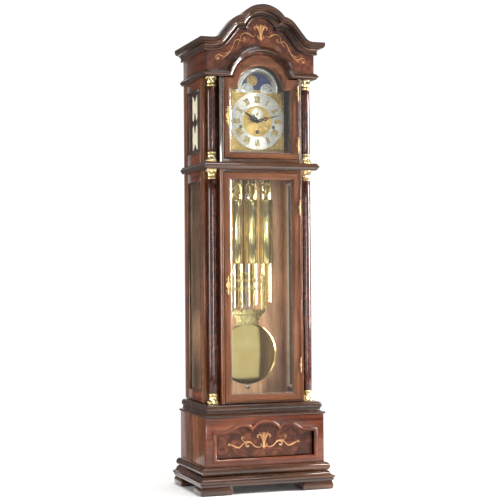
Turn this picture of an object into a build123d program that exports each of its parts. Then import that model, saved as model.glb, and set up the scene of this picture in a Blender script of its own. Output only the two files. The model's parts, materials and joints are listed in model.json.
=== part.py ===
from build123d import *
import os
from math import acos, atan2, cos, degrees, hypot, radians, sin, sqrt

os.makedirs("parts", exist_ok=True)

# A floor-standing grandfather clock. Millimetres, +Z up, +X to the viewer's right, front towards -Y.
# The origin is on the floor at the middle of the footprint. Depths run forward from the wall side.

# ---- Driving dimensions -------------------------------------------------------------------------
TOTAL_DEPTH = 422.0
BACK_Y = TOTAL_DEPTH / 2
CASE_HALF = 248.0            # half width of trunk and hood
CASE_DEPTH = 360.0           # wall side to the front face of trunk, hood and frieze
STILE_DEPTH = 357.0          # front face of the fixed stiles, just behind the doors' faces
BOARD = 18.0                 # thickness of side frames and base boards
FRONT_BOARD = 22.0           # thickness of doors and front boards
BACK_BOARD = 10.0
FITTING_GAP = 1.5            # clearance round a door

BASE_HALF = 271.5
BASE_DEPTH = 383.5
FOOT_TOP = 38.0
PLINTH_STEP_Z = 52.0         # underside of the thin step of the plinth
PLINTH_TOP = 116.0
BASE_TOP = 328.0
TRUNK_BOTTOM = 385.0
TRUNK_TOP = 1401.0
HOOD_BOTTOM = 1431.0
CORNICE_BOTTOM = 1803.0
CORNICE_TOP = 1829.0
ROOF_Z = 1946.0
CROWN_TOP = 1966.0
CROWN_PROUD = 40.0           # how far the crown stands out from the case
CROWN_HEIGHT = 55.0          # height of the crown moulding, square to its top line

NOTCH_X = 190.0              # corner notch that holds a column
NOTCH_DEPTH = 295.0
COLUMN_X = 218.0
COLUMN_DEPTH = 327.0
COLUMN_R = 20.0
CAPITAL_R = 27.5
CAPITAL_H = 44.0

TRUNK_DOOR_HALF = 174.0
TRUNK_DOOR_Z = (393.0, 1386.0)
TRUNK_GLASS_HALF = 142.0
TRUNK_GLASS_Z = (422.0, 1356.0)
HOOD_DOOR_HALF = 170.0
HOOD_DOOR_Z = (1450.0, 1799.0)
HOOD_ARCH_Z = 1771.0         # centre of the hood door's arch
HOOD_ARCH_R = 132.0
HOOD_GLASS_HALF = 141.0
HOOD_GLASS_Z = (1476.0, 1752.0)
GLASS_ARCH_R = 104.0
CORNICE_ARCH_R = (141.0, 170.0)
HINGE_DEPTH = 365.5          # hinge pins stand in front of the doors
HINGE_PIN_R = 2.0
HINGE_LEAF = 4.0             # the narrow part of each leaf that shows
RUNNING_GAP = 0.05

SIDE_GLASS_DEPTH = (60.0, 246.0)
TRUNK_SIDE_Z = (430.0, 1356.0)
HOOD_SIDE_Z = (1477.0, 1762.0)

DIAL_Z = 1618.0              # centre of the hands
DIAL_DEPTH = 303.0           # front face of the dial plate
DIAL_HALF = 127.0
DIAL_BOTTOM = 1486.0
MOON_Z = 1757.0              # centre of the moon disc and of the dial's arch
MOON_WINDOW_R = 69.0
MOON_R = 25.0
MOON_AT = (20.0, 42.0)       # the visible moon, up and to the left of the window's centre
DIAL_ARCH_R = 99.0
CHAPTER_R = (68.0, 126.0)
SECONDS_Z = DIAL_Z + 32.0
WINDING = ((-76.0, DIAL_Z - 25.0, 18.0), (0.0, DIAL_Z - 47.0, 22.0), (76.0, DIAL_Z - 25.0, 18.0))

PLATE_DEPTHS = (180.0, 262.0)  # back and front plate of the movement, inner faces
PLATE_HALF = 98.0
PLATE_Z = (1528.0, 1696.0)
PLATE_T = 3.0
SEAT_Z = (1460.0, 1478.0)

WEIGHT_DEPTH = 210.0
WEIGHT_X = (-72.0, 0.0, 72.0)
WEIGHT_R = 31.0
WEIGHT_Z = (989.0, 1279.0)
PULLEY_Z = 1328.0
PULLEY_R = 22.0              # to the middle of the cable in the groove
CABLE_R = 0.8

PENDULUM_DEPTH = 150.0
PIVOT_Z = 1678.0
BOB_Z = 587.0
BOB_R = 137.5
LYRE_Z = (772.0, 944.0)

TUBE_DEPTH = 57.0
TUBE_R = 12.5
TUBE_PITCH = 35.0
TUBE_TOP = 1688.0
TUBE_LOW = (778.0, 814.0)    # lower end of the first and of the last tube
TUBES = 9
HAMMER_PIVOT_Z = 1600.0
HAMMER_DEPTH = 98.0


# ---- Helpers -------------------------------------------------------------------------------------
def group(*shapes):
    """One compound of every solid in the shapes given, lists among them."""
    solids = []
    for shape in shapes:
        for item in shape if isinstance(shape, (list, tuple)) else [shape]:
            solids += item.solids()
    return Compound(solids)


def board(x0, x1, depth0, depth1, z0, z1):
    """A board between two x, two depths and two heights."""
    middle = Pos((x0 + x1) / 2, BACK_Y - (depth0 + depth1) / 2, (z0 + z1) / 2)
    return middle * Box(x1 - x0, depth1 - depth0, z1 - z0)


def left_and_right(*shapes):
    """The shapes, which are on the right, and their mirror images on the left."""
    return [s for shape in shapes for s in (shape, mirror(shape, about=Plane.YZ))]


def outline(*steps):
    """A closed face from corner points. A step that is a pair of points is an arc through both."""
    edges, here = [], steps[0]
    for step in steps[1:] + (steps[0],):
        is_arc = isinstance(step[0], tuple)
        end = step[1] if is_arc else step
        if hypot(end[0] - here[0], end[1] - here[1]) > 1e-6:
            edges.append(ThreePointArc(here, step[0], end) if is_arc else Line(here, end))
        here = end
    return make_face(edges)


def front_slab(face, depth0, depth1):
    """A face drawn as (x, z), made solid between two depths."""
    plane = Plane(origin=(0, BACK_Y - depth0, 0), x_dir=(1, 0, 0), z_dir=(0, -1, 0))
    return extrude(plane * face, amount=depth1 - depth0)


def side_slab(face, x0, x1):
    """A face drawn as (depth, z), made solid between two x."""
    plane = Plane(origin=(x1, BACK_Y, 0), x_dir=(0, -1, 0), z_dir=(-1, 0, 0))
    return extrude(plane * face, amount=x1 - x0)


def plan_slab(face, z0, z1):
    """A face drawn as (x, depth), made solid between two heights."""
    plane = Plane(origin=(0, BACK_Y, z1), x_dir=(1, 0, 0), z_dir=(0, 0, -1))
    return extrude(plane * face, amount=z1 - z0)


def disc(x, z, radius, depth0, depth1, bore=0.0):
    """A round plate or shaft that faces forward, with a bore if one is given."""
    face = Circle(radius) - Circle(bore) if bore else Circle(radius)
    return front_slab(Pos(x, z) * face, depth0, depth1)


def turned(x, depth, *profile):
    """A shape turned about a vertical axis, from an outline of (radius, z) steps."""
    return Pos(x, BACK_Y - depth, 0) * revolve(Plane.XZ * outline(*profile), Axis.Z)


def post(x, depth, radius, z0, z1):
    return Pos(x, BACK_Y - depth, (z0 + z1) / 2) * Cylinder(radius, z1 - z0)


def on_circle(centre, radius, angle):
    """The point of a circle at an angle in degrees from +X."""
    return (centre[0] + radius * cos(radians(angle)), centre[1] + radius * sin(radians(angle)))


def crossing_angles(c0, r0, c1, r1):
    """Where two circles cross above their centres: the angle seen from each centre."""
    dx, dz = c1[0] - c0[0], c1[1] - c0[1]
    gap = hypot(dx, dz)
    along = (r0 * r0 - r1 * r1 + gap * gap) / (2 * gap)
    up = sqrt(r0 * r0 - along * along)
    x = c0[0] + (along * dx - up * dz) / gap
    z = c0[1] + (along * dz + up * dx) / gap
    return degrees(atan2(z - c0[1], x - c0[0])), degrees(atan2(z - c1[1], x - c1[0]))


def mitred(profile, half, depth):
    """A moulding round the two sides and the front, in three runs mitred at the front corners.

    The profile is a face of (distance out from the case, z)."""
    reach = 90.0
    front_plane = Plane(origin=(0, BACK_Y - depth, 0), x_dir=(0, -1, 0), z_dir=(-1, 0, 0))
    side_plane = Plane(origin=(half, 0, 0), x_dir=(1, 0, 0), z_dir=(0, -1, 0))
    front = extrude(front_plane * profile, amount=half + reach, both=True)
    side = extrude(side_plane * profile, amount=BACK_Y + reach, both=True)
    trapezoid = Polyline(
        (-half + reach, depth - reach),
        (-half - reach, depth + reach),
        (half + reach, depth + reach),
        (half - reach, depth - reach),
        close=True,
    )
    flank = Polyline(
        (half - reach, depth - reach),
        (half + reach, depth + reach),
        (half + reach, 0),
        (half - reach, 0),
        close=True,
    )
    front &= plan_slab(make_face(trapezoid), 0, 3000)
    side &= plan_slab(make_face(flank), 0, 3000)
    return [front] + left_and_right(side)


# ---- Base ----------------------------------------------------------------------------------------
def feet():
    """Four bulged block feet under the corners of the plinth."""
    out, width, length = 57.0, 145.0, 112.0
    face_x, face_depth = CASE_HALF + out, CASE_DEPTH + out
    bulge = outline((face_x - width, 0), (face_x - 8, 0), ((face_x, 15), (face_x - 6, FOOT_TOP)),
                    (face_x - width, FOOT_TOP))
    along_x = extrude(Plane(origin=(0, BACK_Y, 0), x_dir=(1, 0, 0), z_dir=(0, -1, 0)) * bulge,
                      amount=face_depth)
    nose = outline((face_depth - length, 0), (face_depth - 8, 0),
                   ((face_depth, 15), (face_depth - 6, FOOT_TOP)), (face_depth - length, FOOT_TOP))
    front = side_slab(nose, face_x - width, face_x) & along_x
    rear = board(face_x - width, face_x, 0, length, 0, FOOT_TOP) & along_x
    return group(left_and_right(front, rear))


def plinth_moulding():
    """Torus, cove, thin step and under-rail."""
    torus_r = (PLINTH_TOP - 79.0) / 2
    profile = outline(
        (-20, FOOT_TOP), (54, FOOT_TOP), ((57, 45), (55, PLINTH_STEP_Z)), (62, PLINTH_STEP_Z),
        (62, PLINTH_STEP_Z + 8), ((44, 66), (36, 79)), ((45.5, 79 + torus_r), (36, PLINTH_TOP)),
        (BASE_HALF - CASE_HALF, PLINTH_TOP), (-20, PLINTH_TOP - 20),
    )
    return group(mitred(profile, CASE_HALF, CASE_DEPTH))


def base_boards():
    """Two sides, back and floor of the base, and the front board with its scalloped opening."""
    inner = BASE_HALF - BOARD
    low = PLINTH_TOP
    front_back = BASE_DEPTH - FRONT_BOARD
    side = board(inner, BASE_HALF, 0, front_back, low, BASE_TOP)
    back = board(-inner, inner, 0, BACK_BOARD, low, BASE_TOP)
    floor = board(-CASE_HALF + 22, CASE_HALF - 22, 0, CASE_DEPTH - 22, PLINTH_TOP - 30, PLINTH_TOP - 12)
    face = Pos(0, (low + BASE_TOP) / 2) * Rectangle(2 * BASE_HALF, BASE_TOP - low)
    front = front_slab(face - scallop_face(SCALLOP_WIDTH), front_back, BASE_DEPTH)
    return group(left_and_right(side), back, floor, front)


SCALLOP_WIDTH = 15.0
SCALLOP_HALF = 240.0
SCALLOP_BOTTOM = 135.0
SCALLOP_FLAT = 270.0         # height of the flats at the two ends
SCALLOP_LOBE = ((0.0, 223.0), 91.0)
SCALLOP_INNER = ((98.0, 251.0), 51.0)
SCALLOP_OUTER = ((98.0, 212.0), 90.0)
SCALLOP_SWEEP_X = 197.0


def scallop_face(inset):
    """The outline of the base panel's frame: a centre lobe, two side lobes and flat ends."""
    lobe, lobe_r = SCALLOP_LOBE[0], SCALLOP_LOBE[1] - inset
    near, near_r = SCALLOP_INNER[0], SCALLOP_INNER[1] - inset
    far, far_r = SCALLOP_OUTER[0], SCALLOP_OUTER[1] - inset
    gap_x = SCALLOP_SWEEP_X - far[0]
    rise = (gap_x ** 2 + (SCALLOP_FLAT - far[1]) ** 2 - SCALLOP_OUTER[1] ** 2)
    sweep_radius = rise / (2 * (SCALLOP_OUTER[1] - (SCALLOP_FLAT - far[1])))
    sweep, sweep_r = (SCALLOP_SWEEP_X, SCALLOP_FLAT + sweep_radius), sweep_radius + inset
    slope = degrees(atan2(sweep[1] - far[1], sweep[0] - far[0]))
    from_lobe, from_near = crossing_angles(lobe, lobe_r, near, near_r)
    half, low = SCALLOP_HALF - inset, SCALLOP_BOTTOM + inset
    flat = SCALLOP_FLAT - inset
    right = [
        (half, low), (half, flat), (sweep[0], flat),
        (on_circle(sweep, sweep_r, (slope - 180 - 90) / 2), on_circle(far, far_r, slope)),
        (on_circle(far, far_r, (slope + 90) / 2), on_circle(far, far_r, 90)),
        (on_circle(near, near_r, (90 + from_near) / 2), on_circle(near, near_r, from_near)),
    ]
    return outline(*mirrored_steps(right, on_circle(lobe, lobe_r, 90)))


def mirrored_steps(right, crest):
    """Steps up the right side, an arc over the crest, and the same steps down the left side."""
    def flip(point):
        return (-point[0], point[1])

    points = [step[1] if isinstance(step[0], tuple) else step for step in right]
    steps = list(right) + [(crest, flip(points[-1]))]
    for i in range(len(right) - 1, 0, -1):
        end = flip(points[i - 1])
        steps.append((flip(right[i][0]), end) if isinstance(right[i][0], tuple) else end)
    return steps


def base_panel():
    """The burr-veneered panel behind the scalloped opening."""
    face = scallop_face(SCALLOP_WIDTH - 8)
    return group(front_slab(face, BASE_DEPTH - FRONT_BOARD - 8, BASE_DEPTH - FRONT_BOARD))


def base_panel_moulding():
    """The raised frame round the opening, rounded on its face by a smaller second step."""
    ring = scallop_face(0) - scallop_face(SCALLOP_WIDTH)
    crown = scallop_face(3) - scallop_face(SCALLOP_WIDTH - 3)
    return group(front_slab(ring, BASE_DEPTH, BASE_DEPTH + 5) + front_slab(crown, BASE_DEPTH + 5,
                                                                         BASE_DEPTH + 9))


def lower_moulding():
    """The waist moulding between base and trunk: a thin bead, a small cove and a torus."""
    profile = outline(
        (-18, BASE_TOP), (27, BASE_TOP), ((30, BASE_TOP + 5), (27, BASE_TOP + 10)),
        (19, BASE_TOP + 10), ((14, BASE_TOP + 14), (12, BASE_TOP + 20)),
        ((18, BASE_TOP + 38), (8, TRUNK_BOTTOM)), (-18, TRUNK_BOTTOM),
    )
    return group(mitred(profile, CASE_HALF, CASE_DEPTH))


# ---- Trunk ---------------------------------------------------------------------------------------
def side_frame(z0, z1, opening):
    """One side frame of two stiles and two rails, joined at the corners."""
    inner, near, far = CASE_HALF - BOARD, *SIDE_GLASS_DEPTH
    return [
        board(inner, CASE_HALF, 0, near, z0, z1),
        board(inner, CASE_HALF, far, NOTCH_DEPTH, z0, z1),
        board(inner, CASE_HALF, near, far, z0, opening[0]),
        board(inner, CASE_HALF, near, far, opening[1], z1),
    ]


def back_panel():
    inner = CASE_HALF - BOARD
    return group(board(-inner, inner, 0, BACK_BOARD, BASE_TOP, ROOF_Z))


def trunk_side_frames():
    return group(left_and_right(*side_frame(TRUNK_BOTTOM, TRUNK_TOP, TRUNK_SIDE_Z)))


def trunk_side_glass():
    middle = CASE_HALF - BOARD / 2
    pane = board(middle - 2, middle + 2, *SIDE_GLASS_DEPTH, *TRUNK_SIDE_Z)
    return group(left_and_right(pane))


def corner_frame(z0, z1, door_half):
    """The fixed stile beside a door and the return behind the column, at one front corner."""
    stile = board(door_half + FITTING_GAP, NOTCH_X, NOTCH_DEPTH, STILE_DEPTH, z0, z1)
    column_back = board(door_half + FITTING_GAP, CASE_HALF - BOARD, NOTCH_DEPTH - 12, NOTCH_DEPTH, z0, z1)
    return [stile, column_back]


def trunk_front_frame():
    """Corner frames and the two rails that the trunk door closes between."""
    half = TRUNK_DOOR_HALF + FITTING_GAP
    low = board(-half, half, STILE_DEPTH - 20, STILE_DEPTH, TRUNK_BOTTOM, TRUNK_DOOR_Z[0] - FITTING_GAP)
    high = board(-half, half, STILE_DEPTH - 20, STILE_DEPTH, TRUNK_DOOR_Z[1] + FITTING_GAP, TRUNK_TOP)
    return group(left_and_right(*corner_frame(TRUNK_BOTTOM, TRUNK_TOP, TRUNK_DOOR_HALF)), low, high)


def column(z0, z1):
    """A turned shaft with a slight swell, standing between its capital and its base."""
    r, low, high = COLUMN_R, z0 + CAPITAL_H, z1 - CAPITAL_H
    return turned(COLUMN_X, COLUMN_DEPTH, (0, low), (r, low), ((r + 1, (low + high) / 2), (r, high)),
                  (0, high))


def columns():
    return group(left_and_right(column(TRUNK_BOTTOM, TRUNK_TOP), column(HOOD_BOTTOM, CORNICE_BOTTOM)))


def capital(z0, upright):
    """A brass capital: a wide lip, a waisted bell and a collar. The base is the same, inverted."""
    r, h = CAPITAL_R, CAPITAL_H

    def at(level):
        return z0 + (level if upright else h - level)

    return turned(
        COLUMN_X, COLUMN_DEPTH, (0, at(0)), (r - 4, at(0)), (r - 4, at(7)),
        ((r - 9, at(19)), (r - 1, at(36))), (r, at(38)), (r, at(h)), (0, at(h)),
    )


def column_capitals():
    pieces = []
    for z0, z1 in ((TRUNK_BOTTOM, TRUNK_TOP), (HOOD_BOTTOM, CORNICE_BOTTOM)):
        pieces += [capital(z0, False), capital(z1 - CAPITAL_H, True)]
    return group(left_and_right(*pieces))


def nosing(z0, z1, proud, inner=-BOARD):
    """A moulding with a pointed nose, bevelled above and below."""
    middle = (z0 + z1) / 2
    return outline((inner, z0), (proud * 0.45, z0), (proud * 0.55, z0 + 3), (proud, middle - 2),
                   (proud, middle + 2), (proud * 0.55, z1 - 3), (proud * 0.45, z1), (inner, z1))


def mid_moulding():
    return group(mitred(nosing(TRUNK_TOP, HOOD_BOTTOM, 17.5), CASE_HALF, CASE_DEPTH))


# ---- Hood ----------------------------------------------------------------------------------------
def hood_side_frames():
    """Framed sides of the hood, with a plain frieze board above each."""
    frieze = board(CASE_HALF - BOARD, CASE_HALF, 0, CASE_DEPTH - FRONT_BOARD, CORNICE_TOP, ROOF_Z)
    return group(left_and_right(*side_frame(HOOD_BOTTOM, CORNICE_BOTTOM, HOOD_SIDE_Z), frieze))


def fret_opening(z0, z1):
    """A tall slot that runs to a point at both ends of its middle, with two horns at its far end."""
    middle = sum(SIDE_GLASS_DEPTH) / 2
    half = 42.0
    tip = (z1 - z0) / abs(z1 - z0)
    return outline(
        (middle, z0), ((middle + 26, z0 + 6 * tip), (middle + 30, z0 + 26 * tip)),
        (middle + half, z0 + 30 * tip), (middle + half, z1 - 34 * tip),
        ((middle + half - 6, z1 - 14 * tip), (middle + 27, z1)), (middle + 14, z1 - 30 * tip),
        (middle, z1 - 44 * tip), (middle - 14, z1 - 30 * tip), (middle - 27, z1),
        ((middle - half + 6, z1 - 14 * tip), (middle - half, z1 - 34 * tip)),
        (middle - half, z0 + 30 * tip), (middle - 30, z0 + 26 * tip),
        ((middle - 26, z0 + 6 * tip), (middle, z0)),
    )


def hood_side_frets():
    """Pierced panels that let the chime out."""
    near, far = SIDE_GLASS_DEPTH
    low, high = HOOD_SIDE_Z
    middle = (low + high) / 2
    face = Pos((near + far) / 2, middle) * Rectangle(far - near, high - low)
    face -= fret_opening(middle + 8, high - 20)
    face -= fret_opening(middle - 8, low + 20)
    return group(left_and_right(side_slab(face, CASE_HALF - 12, CASE_HALF - 6)))


def hood_side_cloth():
    """The pale cloth stretched behind each fret."""
    return group(left_and_right(board(CASE_HALF - 13.5, CASE_HALF - 12, *SIDE_GLASS_DEPTH, *HOOD_SIDE_Z)))


def hood_front_frame():
    """Corner frames beside the hood door, and the rail below it."""
    half = HOOD_DOOR_HALF + FITTING_GAP
    rail = board(-half, half, STILE_DEPTH - 20, STILE_DEPTH, HOOD_BOTTOM, HOOD_DOOR_Z[0] - FITTING_GAP)
    corners = corner_frame(HOOD_BOTTOM, CORNICE_BOTTOM, HOOD_DOOR_HALF)
    return group(left_and_right(*corners), rail)


def arch_band(r0, r1, z_low):
    """The part of a ring about the hood arch's centre that is above a height."""
    ring = Circle(r1) - Circle(r0)
    keep = Pos(0, z_low - HOOD_ARCH_Z + 200) * Rectangle(600, 400)
    return Pos(0, HOOD_ARCH_Z) * (ring & keep)


def hood_cornice():
    """A pointed moulding round the hood that rises in an arch over the door."""
    r0, r1 = CORNICE_ARCH_R
    proud = 17.5
    front = mitred(nosing(CORNICE_BOTTOM, CORNICE_TOP, proud, 0), CASE_HALF, CASE_DEPTH)[0]
    sides = mitred(nosing(CORNICE_BOTTOM, CORNICE_TOP, proud), CASE_HALF, CASE_DEPTH)[1:]
    runs = front - disc(0, HOOD_ARCH_Z, r1, 0, TOTAL_DEPTH)
    arch = front_slab(arch_band(r0, r1, CORNICE_BOTTOM), CASE_DEPTH, CASE_DEPTH + proud * 0.5)
    nose = arch_band(r0 + 7, r1 - 7, CORNICE_BOTTOM)
    arch += front_slab(nose, CASE_DEPTH + proud * 0.5, CASE_DEPTH + proud)
    return group(runs, arch, [side - frieze_place(CORNICE_BOTTOM, CORNICE_TOP) for side in sides])


def frieze_place(z0, z1):
    """The space that the frieze board takes between two heights."""
    return board(-CASE_HALF, CASE_HALF, CASE_DEPTH - FRONT_BOARD, CASE_DEPTH, z0, z1)


CROWN_LOBE = ((0.0, 1997.0), 123.0)
CROWN_SIDE_LOBE = ((85.4, 1988.0), 83.0)
CROWN_SWEEP_X = 233.0
CROWN_SWEEP_R = 48.0


def crown_face(inset, low):
    """The bonnet's top line, moved inward: a centre lobe, two shoulders and hollow sweeps."""
    lobe, lobe_r = CROWN_LOBE[0], CROWN_LOBE[1] - inset
    near, near_r = CROWN_SIDE_LOBE[0], CROWN_SIDE_LOBE[1] - inset
    sweep, sweep_r = (CROWN_SWEEP_X, CROWN_TOP + CROWN_SWEEP_R), CROWN_SWEEP_R + inset
    span = hypot(sweep[0] - near[0], sweep[1] - near[1])
    lean = degrees(atan2(sweep[1] - near[1], sweep[0] - near[0]))
    slope = lean + degrees(acos((CROWN_SIDE_LOBE[1] + CROWN_SWEEP_R) / span))
    from_lobe, from_near = crossing_angles(lobe, lobe_r, near, near_r)
    half = CASE_HALF + CROWN_PROUD + 60
    right = [
        (half, low), (half, CROWN_TOP - inset), (sweep[0], CROWN_TOP - inset),
        (on_circle(sweep, sweep_r, (slope - 180 - 90) / 2), on_circle(sweep, sweep_r, slope - 180)),
        on_circle(near, near_r, slope),
        (on_circle(near, near_r, (slope + from_near) / 2), on_circle(near, near_r, from_near)),
    ]
    return outline(*mirrored_steps(right, on_circle(lobe, lobe_r, 90)))


def frieze_board():
    """The front board of the bonnet, cut away in an arch for the hood door."""
    face = crown_face(3, CORNICE_BOTTOM)
    face &= Pos(0, 1950) * Rectangle(2 * CASE_HALF, 400)
    face -= Pos(0, HOOD_ARCH_Z) * Circle(HOOD_ARCH_R + FITTING_GAP)
    return group(front_slab(face, CASE_DEPTH - FRONT_BOARD, CASE_DEPTH))


def crown_moulding():
    """The crown: a fascia over a stepped cove and a bead. It follows the bonnet in front."""
    top, low = CROWN_TOP, CROWN_TOP - CROWN_HEIGHT
    side_profile = outline(
        (-18, top - 20), (0, top - 20), (0, low), (6, low), ((11, low + 5), (7, low + 11)), (10, low + 13),
        ((16, low + 28), (32, top - 20)), (CROWN_PROUD, top - 19), (CROWN_PROUD, top), (-18, top),
    )
    sides = [side - frieze_place(low, top) for side in mitred(side_profile, CASE_HALF, CASE_DEPTH)[1:]]
    wedge = Polyline((-CASE_HALF + 90, CASE_DEPTH - 90), (-CASE_HALF - 90, CASE_DEPTH + 90),
                     (CASE_HALF + 90, CASE_DEPTH + 90), (CASE_HALF - 90, CASE_DEPTH - 90), close=True)
    front = None
    for inset0, inset1, proud in ((0, 19, CROWN_PROUD), (19, 26, 27), (26, 35, 17), (35, 44, 10),
                                  (44, CROWN_HEIGHT, 9)):
        face = crown_face(inset0, CROWN_TOP - 120) - crown_face(inset1, CROWN_TOP - 121)
        face &= Pos(0, low + 200) * Rectangle(700, 400)
        layer = front_slab(face, CASE_DEPTH, CASE_DEPTH + proud)
        front = layer if front is None else front + layer
    front &= plan_slab(make_face(wedge), 1800, 2200)
    return group(front, sides)


def roof_board():
    return group(board(-CASE_HALF + 18, CASE_HALF - 18, 0, CASE_DEPTH - FRONT_BOARD, ROOF_Z, ROOF_Z + 12))


def stroke(width, *route):
    """A strip of constant width along a route of arcs, each a triple of points."""
    faces = None
    for start, via, end in route:
        piece = trace(ThreePointArc(start, via, end), width)
        faces = piece if faces is None else faces + piece
    return faces


def palmette(x, z0, z1):
    """A stem with a foot, three upright petals and two curled leaves."""
    height = z1 - z0
    waist = z0 + 0.42 * height
    stem = outline((x, z0), ((x + 5, z0 + 0.16 * height), (x + 2.5, waist)), (x + 5, z0 + 0.72 * height),
                   ((x + 4, z0 + 0.9 * height), (x, z1)),
                   ((x - 4, z0 + 0.9 * height), (x - 5, z0 + 0.72 * height)), (x - 2.5, waist),
                   ((x - 5, z0 + 0.16 * height), (x, z0)))
    leaf = stroke(4, ((x + 3, waist), (x + 10, z0 + 0.8 * height), (x + 24, z0 + 0.92 * height)))
    leaf += stroke(3, ((x + 24, z0 + 0.92 * height), (x + 30, z0 + 0.82 * height),
                       (x + 26, z0 + 0.7 * height)))
    foot = stroke(3.5, ((x + 1, z0 + 8), (x + 12, z0 + 5), (x + 20, z0 + 13)))
    return stem + leaf + foot + mirror(leaf, about=Plane.YZ) + mirror(foot, about=Plane.YZ)


def scroll_pair(strips):
    return strips + mirror(strips, about=Plane.YZ)


def inlays():
    """Pale marquetry let into the frieze and the base panel, standing a hair proud."""
    frieze = scroll_pair(stroke(3.5, ((24, 1982), (44, 1984), (60, 1992)), ((60, 1992), (90, 1980),
                                                                          (97, 1956)),
                                ((97, 1956), (112, 1946), (126, 1930)),
                                ((126, 1930), (140, 1902), (166, 1896)),
                                ((166, 1896), (178, 1884), (196, 1892)),
                                ((196, 1892), (207, 1880), (196, 1872))))
    curl = scroll_pair(stroke(3, ((78, 1962), (70, 1970), (82, 1978)), ((164, 1882), (156, 1890),
                                                                    (160, 1900))))
    crest = palmette(0, 1963, 2036)
    base = scroll_pair(stroke(3.5, ((20, 199), (44, 190), (62, 212)), ((62, 212), (84, 216), (70, 190)),
                              ((62, 212), (84, 226), (104, 208)), ((104, 208), (124, 196), (150, 206)),
                              ((150, 206), (164, 214), (162, 204))))
    spray = scroll_pair(stroke(2.5, ((86, 220), (96, 232), (104, 240))))
    boss = palmette(0, 185, 256)
    upper = front_slab(frieze + curl + crest, CASE_DEPTH, CASE_DEPTH + 0.6)
    panel_front = BASE_DEPTH - FRONT_BOARD
    lower = front_slab(base + spray + boss, panel_front, panel_front + 0.6)
    return group(upper, lower)


# ---- Doors ---------------------------------------------------------------------------------------
def hinge_z(door_z):
    """Heights of the middles of a door's two hinges."""
    reach = 0.14 * (door_z[1] - door_z[0]) + 12
    return door_z[0] + reach, door_z[1] - reach


def hinge_halves(door_half, z_middle, knuckle=16.0):
    """One hinge: its fixed knuckles, its pin with a finial at each end, and the door's knuckle."""
    x = door_half + FITTING_GAP / 2
    radius = 4.0
    pin_hole = post(x, HINGE_DEPTH, HINGE_PIN_R, z_middle - 60, z_middle + 60)
    fixed = []
    for side in (-1, 1):
        middle = z_middle + side * (knuckle + 0.5)
        low, high = middle - knuckle / 2, middle + knuckle / 2
        half = post(x, HINGE_DEPTH, radius, low, high)
        half += board(x, x + 3, STILE_DEPTH, HINGE_DEPTH, low, high)
        half += board(x + 1, x + 1 + HINGE_LEAF, STILE_DEPTH, STILE_DEPTH + 1.2, low, high)
        fixed.append(half - pin_hole)
    end = 1.5 * knuckle + 0.5
    pin = post(x, HINGE_DEPTH, HINGE_PIN_R, z_middle - end - 4, z_middle + end + 4)
    for side in (-1, 1):
        pin += Pos(x, BACK_Y - HINGE_DEPTH, z_middle + side * (end + 7)) * Sphere(3.6)
        collar = sorted((z_middle + side * end, z_middle + side * (end + 1.5)))
        pin += post(x, HINGE_DEPTH, 3.4, *collar)
    low, high = z_middle - knuckle / 2, z_middle + knuckle / 2
    moving = post(x, HINGE_DEPTH, radius, low, high)
    moving += board(x - 3, x, CASE_DEPTH, HINGE_DEPTH, low, high)
    moving += board(x - 1 - HINGE_LEAF, x - 1, CASE_DEPTH, CASE_DEPTH + 1.2, low, high)
    moving -= post(x, HINGE_DEPTH, HINGE_PIN_R + RUNNING_GAP, low, high)
    return fixed + [pin], moving


def case_hinge_halves():
    """The fixed half of each door hinge, with its pin, and a ball catch for each door."""
    pieces = []
    for half, door_z in ((TRUNK_DOOR_HALF, TRUNK_DOOR_Z), (HOOD_DOOR_HALF, HOOD_DOOR_Z)):
        for z in hinge_z(door_z):
            pieces += hinge_halves(half, z)[0]
        middle = sum(door_z) / 2
        pieces.append(board(-half + 6, -half + 30, CASE_DEPTH - FRONT_BOARD - 14,
                            CASE_DEPTH - FRONT_BOARD - 1, middle - 12, middle + 12))
        pieces.append(board(-half - FITTING_GAP, -half + 6, NOTCH_DEPTH + 2,
                            CASE_DEPTH - FRONT_BOARD - 1, middle - 12, middle + 12))
    return group(pieces)


def escutcheon(door_half, z):
    """A waisted backplate with a keyhole boss and a small turned knob."""
    x = -door_half + 17
    plate = outline((x, z + 42), ((x + 9, z + 30), (x + 5, z + 17)), ((x + 13, z), (x + 5, z - 17)),
                    ((x + 9, z - 30), (x, z - 42)), ((x - 9, z - 30), (x - 5, z - 17)),
                    ((x - 13, z), (x - 5, z + 17)), ((x - 9, z + 30), (x, z + 42)))
    solid = front_slab(plate, CASE_DEPTH, CASE_DEPTH + 2)
    solid += disc(x, z, 4, CASE_DEPTH + 2, CASE_DEPTH + 8) + disc(x, z, 7, CASE_DEPTH + 8, CASE_DEPTH + 14)
    return solid


def door_brassware(door_half, door_z):
    moving = [hinge_halves(door_half, z)[1] for z in hinge_z(door_z)]
    return group(moving, escutcheon(door_half, sum(door_z) / 2 + 8))


def trunk_door_frame():
    """Two stiles and two rails round the long glass."""
    half, inner = TRUNK_DOOR_HALF, TRUNK_GLASS_HALF
    (low, high), (glass_low, glass_high) = TRUNK_DOOR_Z, TRUNK_GLASS_Z
    back = CASE_DEPTH - FRONT_BOARD
    stile = board(inner, half, back, CASE_DEPTH, low, high)
    rails = [board(-inner, inner, back, CASE_DEPTH, low, glass_low),
             board(-inner, inner, back, CASE_DEPTH, glass_high, high)]
    return group(left_and_right(stile), rails)


def trunk_door_glass():
    return group(board(-TRUNK_GLASS_HALF, TRUNK_GLASS_HALF, 345, 349, *TRUNK_GLASS_Z))


def hood_glass_face():
    low, spring = HOOD_GLASS_Z
    face = Pos(0, (low + spring) / 2) * Rectangle(2 * HOOD_GLASS_HALF, spring - low)
    return face + Pos(0, spring) * Circle(GLASS_ARCH_R)


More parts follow.
